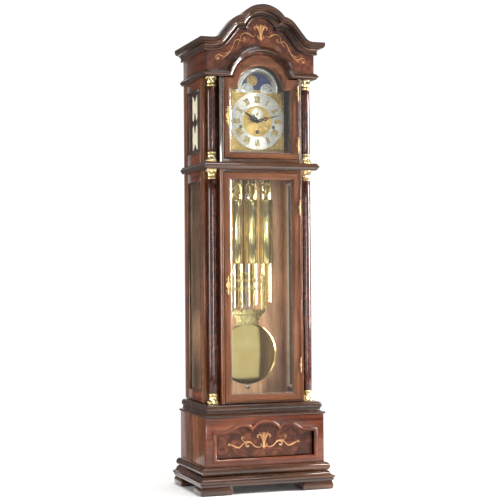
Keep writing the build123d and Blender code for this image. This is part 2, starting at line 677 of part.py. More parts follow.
def hood_door_frame():
    """Two stiles, a bottom rail and an arched head."""
    half, inner = HOOD_DOOR_HALF, HOOD_GLASS_HALF
    low, shoulder = HOOD_DOOR_Z
    back = CASE_DEPTH - FRONT_BOARD
    spring = HOOD_GLASS_Z[1]
    stile = board(inner, half, back, CASE_DEPTH, low, spring)
    rail = board(-inner, inner, back, CASE_DEPTH, low, HOOD_GLASS_Z[0])
    head = Pos(0, (spring + shoulder) / 2) * Rectangle(2 * half, shoulder - spring)
    head += Pos(0, HOOD_ARCH_Z) * (Circle(HOOD_ARCH_R) & Pos(0, 100) * Rectangle(400, 200))
    head -= Pos(0, spring) * Circle(GLASS_ARCH_R)
    return group(left_and_right(stile), rail, front_slab(head, back, CASE_DEPTH))


def hood_door_glass():
    return group(front_slab(hood_glass_face(), 345, 349))


# ---- Movement ------------------------------------------------------------------------------------
def seatboard():
    """The shelf under the movement, with a hole for each cable, and a cleat at each end."""
    shelf = board(-CASE_HALF + BOARD, CASE_HALF - BOARD, 168, 283, *SEAT_Z)
    for x, z, _ in WINDING:
        for cable_x, _ in cable_falls(x, z):
            shelf -= post(cable_x, WEIGHT_DEPTH, 6, SEAT_Z[0] - 1, SEAT_Z[1] + 1)
    cleat = board(CASE_HALF - BOARD - 16, CASE_HALF - BOARD, 168, 283, SEAT_Z[0] - 22, SEAT_Z[0])
    return group(shelf, left_and_right(cleat))


def cable_falls(drum_x, drum_z):
    """The x and the top of the fall from the drum, and of the fall from the anchor bar."""
    weight_x = min(WEIGHT_X, key=lambda x: abs(x - drum_x))
    outward = 1 if drum_x > 0 else -1
    return (weight_x + outward * PULLEY_R, drum_z), (weight_x - outward * PULLEY_R, SEAT_Z[1])


def movement_frame():
    """Two brass plates on four pillars, feet on the seatboard, cable anchor bars and the back cock."""
    back, front = PLATE_DEPTHS
    low, high = PLATE_Z
    face = Pos(0, (low + high) / 2) * Rectangle(2 * PLATE_HALF, high - low)
    plates = []
    for depth0 in (back - PLATE_T, front):
        plate = front_slab(face, depth0, depth0 + PLATE_T)
        for x, z, _ in WINDING:
            plate -= disc(x, z, 4 + RUNNING_GAP, depth0 - 1, depth0 + PLATE_T + 1)
        plate -= disc(0, DIAL_Z, 3.5 + RUNNING_GAP, depth0 - 1, depth0 + PLATE_T + 1)
        plate -= disc(0, SECONDS_Z, 1.5 + RUNNING_GAP, depth0 - 1, depth0 + PLATE_T + 1)
        plate -= disc(0, PIVOT_Z, 2 + RUNNING_GAP, depth0 - 1, depth0 + PLATE_T + 1)
        plates.append(plate)
    pillar_places = [(-80, low + 10), (80, low + 10), (-88, high - 10), (88, high - 10)]
    pillars = [disc(x, z, 6, back, front) for x, z in pillar_places]
    feet_bars = [board(x - 8, x + 8, back, front, SEAT_Z[1], low) for x in (-34, 34)]
    feet_bars += [board(x - 5, x + 5, back, front, SEAT_Z[1], low) for x in (-72, 72)]
    anchors = []
    for x, z, _ in WINDING:
        fixed_x = cable_falls(x, z)[1][0]
        anchors.append(board(fixed_x - 10, fixed_x + 10, WEIGHT_DEPTH - 3, WEIGHT_DEPTH + 3, SEAT_Z[1],
                             SEAT_Z[1] + 5))
    cock = board(-12, 12, PENDULUM_DEPTH - 8, back - PLATE_T, PIVOT_Z + 4, PIVOT_Z + 12)
    for side in (-1, 1):
        x0, x1 = sorted((side * 1.5, side * 6))
        cock += board(x0, x1, PENDULUM_DEPTH - 6, PENDULUM_DEPTH + 6, PIVOT_Z + 1, PIVOT_Z + 5)
    return group(plates, pillars, feet_bars, anchors, cock)


def cable_drum(x, z, radius):
    """A winding arbor with its square, a grooved drum between two flanges, and its great wheel."""
    back, front = PLATE_DEPTHS
    arbor = disc(x, z, 4, back - PLATE_T - 2, front + PLATE_T + 2)
    square = Pos(x, z) * Rectangle(5, 5)
    arbor += front_slab(square, front + PLATE_T + 2, DIAL_DEPTH + 4)
    groove = radius - CABLE_R
    drum = disc(x, z, groove, WEIGHT_DEPTH - 14, WEIGHT_DEPTH + 14, 4)
    flanges = [disc(x, z, radius + 5, depth, depth + 2, 4) for depth in (WEIGHT_DEPTH - 16,
                                                                         WEIGHT_DEPTH + 14)]
    teeth = 60
    wheel = RegularPolygon(radius + 13, teeth) + RegularPolygon(radius + 13, teeth, rotation=180 / teeth)
    tips = wheel
    for i in range(teeth):
        angle = radians(360 / teeth * i)
        tooth = Pos((radius + 13) * cos(angle), (radius + 13) * sin(angle)) * Rot(0, 0, 360 / teeth * i)
        tips += tooth * Rectangle(3, 1)
    wheel = front_slab(Pos(x, z) * (tips - Circle(4)), WEIGHT_DEPTH + 22, WEIGHT_DEPTH + 25)
    return group(arbor, drum, flanges, wheel)


def escape_wheel():
    """Thirty pointed teeth on a thin rim with four spokes, on the arbor that carries the second hand."""
    teeth, tip_r, root_r = 30, 18.0, 15.5
    points = []
    for i in range(teeth):
        step = 360 / teeth
        points.append(on_circle((0, 0), root_r, step * i))
        points.append(on_circle((0, 0), tip_r, step * (i + 0.75)))
    rim = make_face(Polyline(*points, close=True)) - Circle(12.5)
    spokes = Rectangle(26, 2.5) + Rectangle(2.5, 26) + Circle(4)
    face = Pos(0, SECONDS_Z) * (rim + spokes - Circle(1.5))
    back, front = PLATE_DEPTHS
    arbor = disc(0, SECONDS_Z, 1.5, back - PLATE_T, DIAL_DEPTH + 3)
    return group(front_slab(face, back + 6, back + 8), arbor)


def anchor():
    """The anchor over the escape wheel, its arbor, and the crutch that embraces the pendulum rod."""
    back, front = PLATE_DEPTHS
    arc = (Circle(24) - Circle(20.2)) & (Pos(0, 20) * Rectangle(30, 24))
    body = Pos(0, SECONDS_Z) * arc + Pos(0, PIVOT_Z - 1) * Circle(5)
    body = front_slab(body - Pos(0, PIVOT_Z) * Circle(2), back + 4, back + 10)
    arbor = disc(0, PIVOT_Z, 2, PENDULUM_DEPTH + 12, front + PLATE_T - 1)
    low = PIVOT_Z - 70
    crutch = board(-2.5, 2.5, PENDULUM_DEPTH + 14, PENDULUM_DEPTH + 16, low, PIVOT_Z - 2)
    crutch += board(-8, 8, PENDULUM_DEPTH + 14, PENDULUM_DEPTH + 16, low - 6, low)
    for side in (-1, 1):
        x0, x1 = sorted((side * 5.8, side * 8))
        crutch += board(x0, x1, PENDULUM_DEPTH - 6, PENDULUM_DEPTH + 16, low - 6, low)
    boss = disc(0, PIVOT_Z, 3.5, PENDULUM_DEPTH + 13, PENDULUM_DEPTH + 17, 2)
    return group(body, arbor, crutch, boss)


# ---- Chime ---------------------------------------------------------------------------------------
def tube_places():
    """The x and the lower end of each chime tube, from left to right."""
    step = (TUBE_LOW[1] - TUBE_LOW[0]) / (TUBES - 1)
    first = -TUBE_PITCH * (TUBES - 1) / 2
    return [(first + i * TUBE_PITCH, TUBE_LOW[0] + i * step) for i in range(TUBES)]


def chime_tubes():
    """Nine hanging brass tubes, each with a cap and a hanging wire."""
    pieces = []
    for x, low in tube_places():
        wall = post(x, TUBE_DEPTH, TUBE_R, low, TUBE_TOP) - post(x, TUBE_DEPTH, TUBE_R - 1.5, low, TUBE_TOP)
        cap = post(x, TUBE_DEPTH, TUBE_R - 1.5, TUBE_TOP - 6, TUBE_TOP)
        wire = post(x, TUBE_DEPTH, 1.5, TUBE_TOP, TUBE_TOP + 10)
        pieces += [wall, cap, wire]
    return group(pieces)


def chime_rack():
    """The rail that the tubes hang from, and the brackets and rod that the hammers turn on."""
    reach = TUBE_PITCH * (TUBES - 1) / 2 + 30
    rail = board(-reach, reach, BACK_BOARD, TUBE_DEPTH + 20, TUBE_TOP + 10, TUBE_TOP + 32)
    rod = Pos(0, BACK_Y - HAMMER_DEPTH, HAMMER_PIVOT_Z) * Cylinder(3, 2 * reach, rotation=(0, 90, 0))
    arm = board(reach - 14, reach - 8, BACK_BOARD, HAMMER_DEPTH + 8, HAMMER_PIVOT_Z - 10,
                HAMMER_PIVOT_Z + 10)
    arms = [part - rod for part in left_and_right(arm)]
    return group(rail, rod, arms)


def chime_hammers():
    """Nine padded hammers on springy stems, carried by one sleeve on the hammer rod."""
    reach = TUBE_PITCH * (TUBES - 1) / 2 + 12
    sleeve = Pos(0, BACK_Y - HAMMER_DEPTH, HAMMER_PIVOT_Z) * (
        Cylinder(6, 2 * reach, rotation=(0, 90, 0))
        - Cylinder(3 + RUNNING_GAP, 2 * reach + 2, rotation=(0, 90, 0)))
    pieces = [sleeve]
    for x, _ in tube_places():
        pieces.append(board(x - 2, x + 2, HAMMER_DEPTH - 1.5, HAMMER_DEPTH + 1.5, HAMMER_PIVOT_Z + 5.8,
                            HAMMER_PIVOT_Z + 48))
        pieces.append(disc(x, HAMMER_PIVOT_Z + 54, 6, TUBE_DEPTH + TUBE_R + 4, HAMMER_DEPTH + 4))
    return group(pieces)


# ---- Dial and hands ------------------------------------------------------------------------------
def dial_face():
    low, high = DIAL_BOTTOM, MOON_Z
    face = Pos(0, (low + high) / 2) * Rectangle(2 * DIAL_HALF, high - low)
    return face + Pos(0, MOON_Z) * Circle(DIAL_ARCH_R)


def moon_window():
    """A half-round window with a hump at each end of its floor."""
    window = Circle(MOON_WINDOW_R) & Pos(0, 50) * Rectangle(200, 100)
    for x in (-42, 42):
        window -= Pos(x, 0) * Circle(27)
    return Pos(0, MOON_Z) * window


def drill_dial(solid):
    """Holes for the winding squares, the hand arbors and the second hand."""
    for x, z, _ in WINDING:
        solid -= disc(x, z, 5.5, DIAL_DEPTH - 10, DIAL_DEPTH + 10)
    solid -= disc(0, DIAL_Z, 7, DIAL_DEPTH - 10, DIAL_DEPTH + 10)
    return solid - disc(0, SECONDS_Z, 2.5, DIAL_DEPTH - 10, DIAL_DEPTH + 10)


def dial_plate():
    """The brass dial plate and the four feet that hold it off the movement."""
    plate = drill_dial(front_slab(dial_face() - moon_window(), DIAL_DEPTH - 2, DIAL_DEPTH))
    feet_pins = [disc(x, z, 4, PLATE_DEPTHS[1] + PLATE_T, DIAL_DEPTH - 2)
                 for x in (-84, 84) for z in (PLATE_Z[0] + 24, PLATE_Z[1] - 24)]
    return group(plate, feet_pins)


def chapter_ring():
    """The silvered hour ring and the small seconds ring."""
    inner, outer = CHAPTER_R
    ring = drill_dial(disc(0, DIAL_Z, outer, DIAL_DEPTH, DIAL_DEPTH + 1.5, inner))
    seconds = disc(0, SECONDS_Z, 27, DIAL_DEPTH + 0.8, DIAL_DEPTH + 1.4, 17)
    return group(ring, seconds)


def dial_filigree():
    """Gilt castings: the centre disc and the four corner spandrels."""
    centre = drill_dial(disc(0, DIAL_Z, CHAPTER_R[0] - 0.5, DIAL_DEPTH, DIAL_DEPTH + 0.8))
    low, high = DIAL_BOTTOM + 3, MOON_Z - 3
    face = Pos(0, (low + high) / 2) * Rectangle(2 * DIAL_HALF - 6, high - low)
    face -= Pos(0, DIAL_Z) * Circle(CHAPTER_R[1] + 1)
    corners = front_slab(face, DIAL_DEPTH, DIAL_DEPTH + 1.2)
    return group(centre, corners)


def moon_arch():
    """The silvered ring over the moon window, and a globe plate on each hump."""
    ring = Circle(DIAL_ARCH_R - 2) - Circle(MOON_WINDOW_R)
    ring &= Pos(0, 60) * Rectangle(220, 116)
    pieces = [front_slab(Pos(0, MOON_Z) * ring, DIAL_DEPTH, DIAL_DEPTH + 1.5)]
    for x in (-42, 42):
        globe = Circle(25) & Pos(0, 20) * Rectangle(60, 36)
        pieces.append(front_slab(Pos(x, MOON_Z) * globe, DIAL_DEPTH, DIAL_DEPTH + 1.5))
    return group(pieces)


def moon_disc():
    """The painted disc that turns behind the window, with two raised moons, on its own stud."""
    centre = DIAL_DEPTH - 8
    plate = disc(0, MOON_Z, MOON_WINDOW_R + 7, centre, centre + 1.5)
    moons = [disc(-side * MOON_AT[0], MOON_Z + side * MOON_AT[1], MOON_R, centre + 1.5, centre + 2)
             for side in (-1, 1)]
    return group(plate + moons[0] + moons[1], disc(0, MOON_Z, 3, centre - 14, centre))


def moon_bracket():
    """A bridge from the front plate that carries the moon disc's stud."""
    centre = DIAL_DEPTH - 8
    plate_front = PLATE_DEPTHS[1] + PLATE_T
    upright = board(-9, 9, plate_front, plate_front + 3, PLATE_Z[1] - 14, MOON_Z + 9)
    boss = disc(0, MOON_Z, 7, plate_front + 3, centre - 2, 3 + RUNNING_GAP)
    upright -= disc(0, MOON_Z, 3 + RUNNING_GAP, plate_front - 1, plate_front + 4)
    return group(upright + boss)


def hand_place(face, clock_angle):
    """A hand drawn pointing up about the origin, turned clockwise and set on the dial's centre."""
    return Pos(0, DIAL_Z) * Rot(0, 0, -clock_angle) * face


HOUR_ANGLE = 306.0
MINUTE_ANGLE = 74.7


def serpentine_hand(length, waist, lobe):
    """A pierced hand: two scrolled lobes near the root, a wavy shaft and a point."""
    face = outline((-2, 6), ((-waist, 14), (-1.6, 22)), ((-lobe, 0.34 * length), (-1.4, 0.5 * length)),
                   ((-waist, 0.58 * length), (-1.2, 0.66 * length)), (0, length),
                   (1.2, 0.66 * length), ((waist, 0.58 * length), (1.4, 0.5 * length)),
                   ((lobe, 0.34 * length), (1.6, 22)), ((waist, 14), (2, 6)))
    return face - Pos(0, 0.34 * length) * Circle(0.5 * lobe)


def minute_hand():
    """The minute hand and its arbor through the movement."""
    face = serpentine_hand(112, 4, 6.5) + Circle(9)
    hand = front_slab(hand_place(face, MINUTE_ANGLE), DIAL_DEPTH + 10, DIAL_DEPTH + 11.2)
    hand -= disc(0, DIAL_Z, 3.5, DIAL_DEPTH, DIAL_DEPTH + 20)
    arbor = disc(0, DIAL_Z, 3.5, PLATE_DEPTHS[0] - PLATE_T, DIAL_DEPTH + 13)
    arbor += disc(0, DIAL_Z, 5, DIAL_DEPTH + 11.2, DIAL_DEPTH + 13)
    return group(hand, arbor)


def hour_hand():
    """The hour hand on its pipe, which turns on the minute arbor."""
    face = serpentine_hand(76, 5, 9) + Circle(9)
    hand = front_slab(hand_place(face, HOUR_ANGLE), DIAL_DEPTH + 6, DIAL_DEPTH + 7.2)
    hand -= disc(0, DIAL_Z, 5, DIAL_DEPTH, DIAL_DEPTH + 20)
    pipe = disc(0, DIAL_Z, 5, PLATE_DEPTHS[1] + PLATE_T + 4, DIAL_DEPTH + 8, 3.5 + RUNNING_GAP)
    wheel = disc(0, DIAL_Z, 26, PLATE_DEPTHS[1] + PLATE_T + 6, PLATE_DEPTHS[1] + PLATE_T + 8, 5)
    return group(hand, pipe, wheel)


def second_hand():
    face = outline((-1, -9), (-0.5, 22), (0.5, 22), (1, -9)) + Circle(2.6)
    face = Pos(0, SECONDS_Z) * Rot(0, 0, 25) * face
    return group(front_slab(face - Pos(0, SECONDS_Z) * Circle(1.5), DIAL_DEPTH + 2.2, DIAL_DEPTH + 2.8))


# ---- Pendulum ------------------------------------------------------------------------------------
def pendulum_rod():
    """The suspension spring, the flat rod behind the lyre, and the rating nut under the bob."""
    depth = PENDULUM_DEPTH
    spring = board(-0.3, 0.3, depth - 4, depth + 4, PIVOT_Z - 14, PIVOT_Z + 4)
    rod = board(-5.5, 5.5, depth - 2, depth + 2, BOB_Z - BOB_R - 24, PIVOT_Z - 14)
    nut = post(0, depth, 9, BOB_Z - BOB_R - 20, BOB_Z - BOB_R - 8)
    rod -= nut
    return group(spring, rod, nut)


def pendulum_lyre():
    """Two side strips, two pierced cross bars, a crest, and the neck that flares to the bob."""
    low, high = LYRE_Z
    face = None
    strips = [Pos(side * 74, (low + high) / 2) * Rectangle(22, high - low) for side in (-1, 1)]
    strips += [Pos(side * 30, (low + high) / 2) * Rectangle(8, high - low) for side in (-1, 1)]
    bars = [Pos(0, z) * Rectangle(172, 15) for z in (878, 915)]
    crest = outline((-86, high - 12), (86, high - 12), ((60, high + 6), (30, high)),
                    ((0, high + 14), (-30, high)), ((-60, high + 6), (-86, high - 12)))
    base = outline((-86, low + 10), (-86, low), (-52, 745), (-56, 716), (56, 716), (52, 745), (86, low),
                   (86, low + 10))
    for piece in strips + bars + [crest, base]:
        face = piece if face is None else face + piece
    front = PENDULUM_DEPTH + 6
    studs = [disc(0, z, 5, PENDULUM_DEPTH + 2, front) for z in (750, 878, 915)]
    return group(front_slab(face, front, front + 3), studs)


def pendulum_bob():
    """A polished lens of brass with a rolled rim."""
    rim, bulge = 5.0, 13.0
    edge = BOB_R - 2
    sphere_r = (edge ** 2 + (bulge - rim) ** 2) / (2 * (bulge - rim))
    halfway = bulge - sphere_r + sqrt(sphere_r ** 2 - (edge / 2) ** 2)
    shell = outline((0, -bulge), ((edge / 2, -halfway), (edge, -rim)), (BOB_R, -rim + 2),
                    (BOB_R, rim - 2), (edge, rim), ((edge / 2, halfway), (0, bulge)))
    lens = revolve(shell, Axis.Y)
    lens = Pos(0, BACK_Y - PENDULUM_DEPTH, BOB_Z) * lens
    slot = board(-5.6, 5.6, PENDULUM_DEPTH - 2.1, PENDULUM_DEPTH + 2.1, BOB_Z - BOB_R - 5, BOB_Z + BOB_R + 5)
    return group(lens - slot)


# ---- Weights -------------------------------------------------------------------------------------
def weight(x):
    """A brass shell over a heavy core, two end caps, and the stirrup that holds the pulley."""
    low, high = WEIGHT_Z
    depth = WEIGHT_DEPTH
    shell = post(x, depth, WEIGHT_R, low + 6, high - 8) - post(x, depth, WEIGHT_R - 1.2, low, high)
    core = post(x, depth, 23, low + 6, high - 8)
    bottom = turned(x, depth, (0, low - 2), (6, low - 2), (10, low), (WEIGHT_R - 2, low),
                    ((WEIGHT_R, low + 2), (WEIGHT_R, low + 6)), (0, low + 6))
    top = turned(x, depth, (0, high - 8), (WEIGHT_R, high - 8), ((WEIGHT_R - 1, high - 3), (WEIGHT_R - 6, high)),
                 (8, high), (5, high + 10), (0, high + 10))
    cheek_low = high + 10
    bridge = board(x - 8, x + 8, depth - 9, depth + 9, cheek_low, PULLEY_Z - PULLEY_R - 6)
    cheek = Pos(x, (cheek_low + PULLEY_Z) / 2) * Rectangle(16, PULLEY_Z - cheek_low)
    cheek += Pos(x, PULLEY_Z) * Circle(8)
    cheeks = [front_slab(cheek, depth + inner, depth + inner + 2.5) for inner in (6.5, -9)]
    axle = disc(x, PULLEY_Z, 3, depth - 10, depth + 10)
    stirrup = bridge + cheeks[0] + cheeks[1] + axle
    return group(shell, core, bottom, top, stirrup)


def pulley(x):
    """A grooved wheel pierced with six openings, running on the stirrup's axle."""
    profile = outline((3 + RUNNING_GAP, -5), (PULLEY_R + 3, -5), (PULLEY_R + 3, -3.2),
                      ((PULLEY_R - CABLE_R - 0.35, 0), (PULLEY_R + 3, 3.2)), (PULLEY_R + 3, 5),
                      (3 + RUNNING_GAP, 5))
    wheel = Pos(x, BACK_Y - WEIGHT_DEPTH, PULLEY_Z) * revolve(profile, Axis.Y)
    for i in range(6):
        hole = on_circle((x, PULLEY_Z), 12.5, 60 * i + 30)
        wheel -= disc(*hole, 4, WEIGHT_DEPTH - 8, WEIGHT_DEPTH + 8)
    return group(wheel)


def cable(drum_x, drum_z):
    """The two straight falls of one weight cable, from the drum and the anchor to the pulley."""
    falls = [post(x, WEIGHT_DEPTH, CABLE_R, PULLEY_Z, top) for x, top in cable_falls(drum_x, drum_z)]
    return group(falls)


# ---- Every node, written to its own file ---------------------------------------------------------
nodes = {
    "feet": feet(),
    "plinth_moulding": plinth_moulding(),
    "base_boards": base_boards(),
    "base_panel": base_panel(),
    "base_panel_moulding": base_panel_moulding(),
    "lower_moulding": lower_moulding(),
    "back_panel": back_panel(),
    "trunk_side_frames": trunk_side_frames(),
    "trunk_side_glass": trunk_side_glass(),
    "trunk_front_frame": trunk_front_frame(),
    "columns": columns(),
    "column_capitals": column_capitals(),
    "mid_moulding": mid_moulding(),
    "hood_side_frames": hood_side_frames(),
    "hood_side_frets": hood_side_frets(),
    "hood_side_cloth": hood_side_cloth(),
    "hood_front_frame": hood_front_frame(),
    "hood_cornice": hood_cornice(),
    "frieze_board": frieze_board(),
    "crown_moulding": crown_moulding(),
    "roof_board": roof_board(),
    "inlays": inlays(),
    "case_hinge_halves": case_hinge_halves(),
    "trunk_door_frame": trunk_door_frame(),
    "trunk_door_glass": trunk_door_glass(),
    "trunk_door_brassware": door_brassware(TRUNK_DOOR_HALF, TRUNK_DOOR_Z),
    "hood_door_frame": hood_door_frame(),
    "hood_door_glass": hood_door_glass(),
    "hood_door_brassware": door_brassware(HOOD_DOOR_HALF, HOOD_DOOR_Z),
    "seatboard": seatboard(),
    "movement_frame": movement_frame(),
    "escape_wheel": escape_wheel(),
    "anchor": anchor(),
    "chime_tubes": chime_tubes(),
    "chime_rack": chime_rack(),
    "chime_hammers": chime_hammers(),
    "dial_plate": dial_plate(),
    "chapter_ring": chapter_ring(),
    "dial_filigree": dial_filigree(),
    "moon_arch": moon_arch(),
    "moon_disc": moon_disc(),
    "moon_bracket": moon_bracket(),
    "minute_hand": minute_hand(),
    "hour_hand": hour_hand(),
    "second_hand": second_hand(),
    "pendulum_rod": pendulum_rod(),
    "pendulum_lyre": pendulum_lyre(),
    "pendulum_bob": pendulum_bob(),
}
for side, (drum_x, drum_z, drum_r), weight_x in zip(("left", "centre", "right"), WINDING, WEIGHT_X):
    nodes[f"cable_drum_{side}"] = cable_drum(drum_x, drum_z, drum_r)
    nodes[f"weight_{side}"] = weight(weight_x)
    nodes[f"pulley_{side}"] = pulley(weight_x)
    nodes[f"cable_{side}"] = cable(drum_x, drum_z)

for name, shape in nodes.items():
    export_step(shape, f"parts/{name}.step")
print(len(nodes), "nodes")
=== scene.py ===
"""The looks of a floor-standing grandfather clock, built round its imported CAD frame.

Shapes are drawn in case millimetres: x to the right, depth forward from the wall side, z up.
"""
import json
from math import acos, atan2, cos, degrees, hypot, pi, radians, sin, sqrt
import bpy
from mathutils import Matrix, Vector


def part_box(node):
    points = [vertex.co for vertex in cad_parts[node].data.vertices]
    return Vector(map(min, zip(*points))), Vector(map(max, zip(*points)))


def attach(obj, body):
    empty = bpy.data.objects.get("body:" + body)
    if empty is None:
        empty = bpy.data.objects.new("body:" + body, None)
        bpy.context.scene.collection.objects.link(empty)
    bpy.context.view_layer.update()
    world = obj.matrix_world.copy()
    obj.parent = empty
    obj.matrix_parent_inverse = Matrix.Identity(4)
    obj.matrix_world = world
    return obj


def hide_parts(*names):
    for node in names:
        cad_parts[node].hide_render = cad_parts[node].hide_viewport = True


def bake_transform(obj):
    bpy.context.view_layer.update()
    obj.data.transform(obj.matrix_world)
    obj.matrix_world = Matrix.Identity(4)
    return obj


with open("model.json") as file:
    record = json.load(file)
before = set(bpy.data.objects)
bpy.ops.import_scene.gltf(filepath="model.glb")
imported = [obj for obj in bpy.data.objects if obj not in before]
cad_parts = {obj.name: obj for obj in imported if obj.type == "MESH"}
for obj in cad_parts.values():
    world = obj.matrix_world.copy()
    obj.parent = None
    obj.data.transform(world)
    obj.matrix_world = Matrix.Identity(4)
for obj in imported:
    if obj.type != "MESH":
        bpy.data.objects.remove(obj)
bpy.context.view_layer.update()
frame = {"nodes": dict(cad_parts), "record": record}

from types import SimpleNamespace

import bmesh
import bpy
from mathutils import Matrix, Vector

MM = 0.001
WALL_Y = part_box("back_panel")[1][1]


# ---- Camera --------------------------------------------------------------------------------------
CAMERA_PLACE = (-1.9597, -5.5884, 0.9394)
CAMERA_YAW, CAMERA_PITCH, CAMERA_ROLL = radians(19.2755), radians(1.0898), radians(-0.4347)


def make_camera():
    """A long lens a little left of the clock, level with its trunk."""
    yaw, pitch, roll = CAMERA_YAW, CAMERA_PITCH, CAMERA_ROLL
    forward = Vector((sin(yaw) * cos(pitch), cos(yaw) * cos(pitch), sin(pitch)))
    level = Vector((cos(yaw), -sin(yaw), 0))
    above = level.cross(forward)
    right = cos(roll) * level + sin(roll) * above
    up = cos(roll) * above - sin(roll) * level
    data = bpy.data.cameras.new("camera")
    data.sensor_width = 36.0
    data.lens = 95.38
    data.clip_end = 60.0
    camera = bpy.data.objects.new("camera", data)
    turn = Matrix((right, up, -forward)).transposed().to_4x4()
    camera.matrix_world = Matrix.Translation(CAMERA_PLACE) @ turn
    bpy.context.scene.collection.objects.link(camera)
    bpy.context.scene.camera = camera


make_camera()


# ---- Places from the frame -----------------------------------------------------------------------
def span(node):
    """A CAD node's box at rest, in case millimetres."""
    low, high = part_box(node)
    return SimpleNamespace(
        left=low[0] / MM, right=high[0] / MM, back=(WALL_Y - high[1]) / MM,
        front=(WALL_Y - low[1]) / MM, low=low[2] / MM, high=high[2] / MM,
    )


feet, plinth, base, waist = map(span, ("feet", "plinth_moulding", "base_boards", "lower_moulding"))
trunk_sides, side_pane, middle = map(span, ("trunk_side_frames", "trunk_side_glass", "mid_moulding"))
hood_sides, frets, cornice = map(span, ("hood_side_frames", "hood_side_frets", "hood_cornice"))
crown, roof, capital = map(span, ("crown_moulding", "roof_board", "column_capitals"))
trunk_door, trunk_glass = map(span, ("trunk_door_frame", "trunk_door_glass"))
hood_door, hood_glass = map(span, ("hood_door_frame", "hood_door_glass"))
dial, ring, disc = map(span, ("dial_plate", "chapter_ring", "moon_disc"))
bob, lyre = map(span, ("pendulum_bob", "pendulum_lyre"))

CASE_HALF = hood_sides.right
CASE_DEPTH = trunk_door.front
BOARD = 18.0
FRONT_BOARD = 22.0
BASE_HALF = base.right
BASE_DEPTH = base.front
CORNICE_H = 26.0
CORNICE_ARCH_R = (141.0, 170.0)
NOSE_PROUD = 17.5
CROWN_PROUD = crown.right - CASE_HALF
CROWN_HEIGHT = 55.0
CROWN_TOP = crown.low + CROWN_HEIGHT
CROWN_LOBE = ((0.0, crown.high - 123.0), 123.0)
CROWN_SIDE_LOBE = ((85.4, crown.high - 132.0), 83.0)
CROWN_SWEEP = ((233.0, CROWN_TOP + 48.0), 48.0)
HOOD_ARCH_R = 132.0
HOOD_ARCH_Z = hood_door.high - HOOD_ARCH_R
HOOD_SHOULDER = 1799.0
GLASS_ARCH_R = 104.0
GLASS_SPRING = hood_glass.high - GLASS_ARCH_R
SIDE_OPENING = (side_pane.back, side_pane.front)
TRUNK_OPENING = (side_pane.low, side_pane.high)
HOOD_OPENING = (frets.low, frets.high)
NOTCH_X = 190.0
NOTCH_DEPTH = trunk_sides.front
STILE_DEPTH = 357.0
DOOR_GAP = 1.5
COLUMN_X = 218.0
COLUMN_DEPTH = capital.front - 27.5
COLUMN_R = 20.0
CAPITAL_H = 44.0

DIAL_DEPTH = dial.front
DIAL_HALF = dial.right
DIAL_ARCH_R = 99.0
DIAL_SPRING = dial.high - DIAL_ARCH_R
DIAL_Z = (ring.low + ring.high) / 2
CHAPTER_R = (68.0, ring.right)
SECONDS_Z = DIAL_Z + 32.0
MOON_WINDOW_R = 74.0
MOON_HUMP = (45.0, 29.4)
MOON_AT = (20.0, 42.0)
WINDING = ((-76.0, DIAL_Z - 25.0), (0.0, DIAL_Z - 47.0), (76.0, DIAL_Z - 25.0))
BOB_Z = (bob.low + bob.high) / 2
BOB_R = (bob.high - bob.low) / 2
PENDULUM_DEPTH = (bob.back + bob.front) / 2
SEATBOARD_TOP = 1478.0


def at(x, depth, z):
    """A point of the row frame from case millimetres."""
    return Vector((x * MM, WALL_Y - depth * MM, z * MM))


# ---- Materials -----------------------------------------------------------------------------------
def add(tree, kind, values=None, links=None, **settings):
    """A shader node with its settings, its socket values and the sockets linked into it."""
    made = tree.nodes.new("ShaderNode" + kind)
    for key, value in settings.items():
        setattr(made, key, value)
    for key, value in (values or {}).items():
        made.inputs[key].default_value = value
    for key, socket in (links or {}).items():
        tree.links.new(socket, made.inputs[key])
    return made


def linear(colour):
    """A linear colour with alpha, from one already so or from the usual 0 to 255 values."""
    if len(colour) == 4:
        return colour
    return tuple((value / 255) ** 2.2 for value in colour) + (1.0,)


def ramp(tree, factor, *stops):
    """A colour from a factor, through (position, colour) stops."""
    made = add(tree, "ValToRGB", links={"Fac": factor})
    elements = made.color_ramp.elements
    for i, (position, colour) in enumerate(stops):
        element = elements[i] if i < 2 else elements.new(position)
        element.position = position
        element.color = linear(colour)
    return made.outputs["Color"]


def blank(name, **values):
    """A material with one Principled shader, and its tree and object coordinates."""
    material = bpy.data.materials.new(name)
    material.use_nodes = True
    tree = material.node_tree
    shader = tree.nodes["Principled BSDF"]
    for key, value in values.items():
        shader.inputs[key.replace("_", " ").title().replace("Ior", "IOR")].default_value = value
    return material, tree, shader, add(tree, "TexCoord").outputs["Object"]


def noise(tree, coords, scale, detail, roughness=0.5, distortion=0.0, stretch=None):
    """Fractal noise over coordinates, which stretch scales by axis first."""
    if stretch:
        coords = add(tree, "Mapping", {"Scale": stretch}, {"Vector": coords}).outputs["Vector"]
    values = {"Scale": scale, "Detail": detail, "Roughness": roughness, "Distortion": distortion}
    return add(tree, "TexNoise", values, {"Vector": coords}).outputs["Fac"]


def blend_colour(tree, factor, first, second, mode="MIX"):
    """Two colours mixed by a factor, which may be a socket or a number."""
    made = add(tree, "Mix", data_type="RGBA", blend_type=mode)
    for index, value in ((0, factor), (6, first), (7, second)):
        if hasattr(value, "is_linked"):
            tree.links.new(value, made.inputs[index])
        else:
            made.inputs[index].default_value = value
    return made.outputs[2]


def spread(tree, factor, low, high):
    """A factor from 0 to 1 stretched to run from low to high."""
    return add(tree, "MapRange", {"To Min": low, "To Max": high}, {"Value": factor}).outputs["Result"]


def dress(made, colour, rough, height, strength, distance=0.0003):
    """Links a blank material's colour, its roughness as (factor, low, high) and its bump."""
    material, tree, shader = made[:3]
    tree.links.new(colour, shader.inputs["Base Color"])
    if rough:
        tree.links.new(spread(tree, *rough), shader.inputs["Roughness"])
    bump = add(tree, "Bump", {"Strength": strength, "Distance": distance}, {"Height": height})
    tree.links.new(bump.outputs["Normal"], shader.inputs["Normal"])
    return material


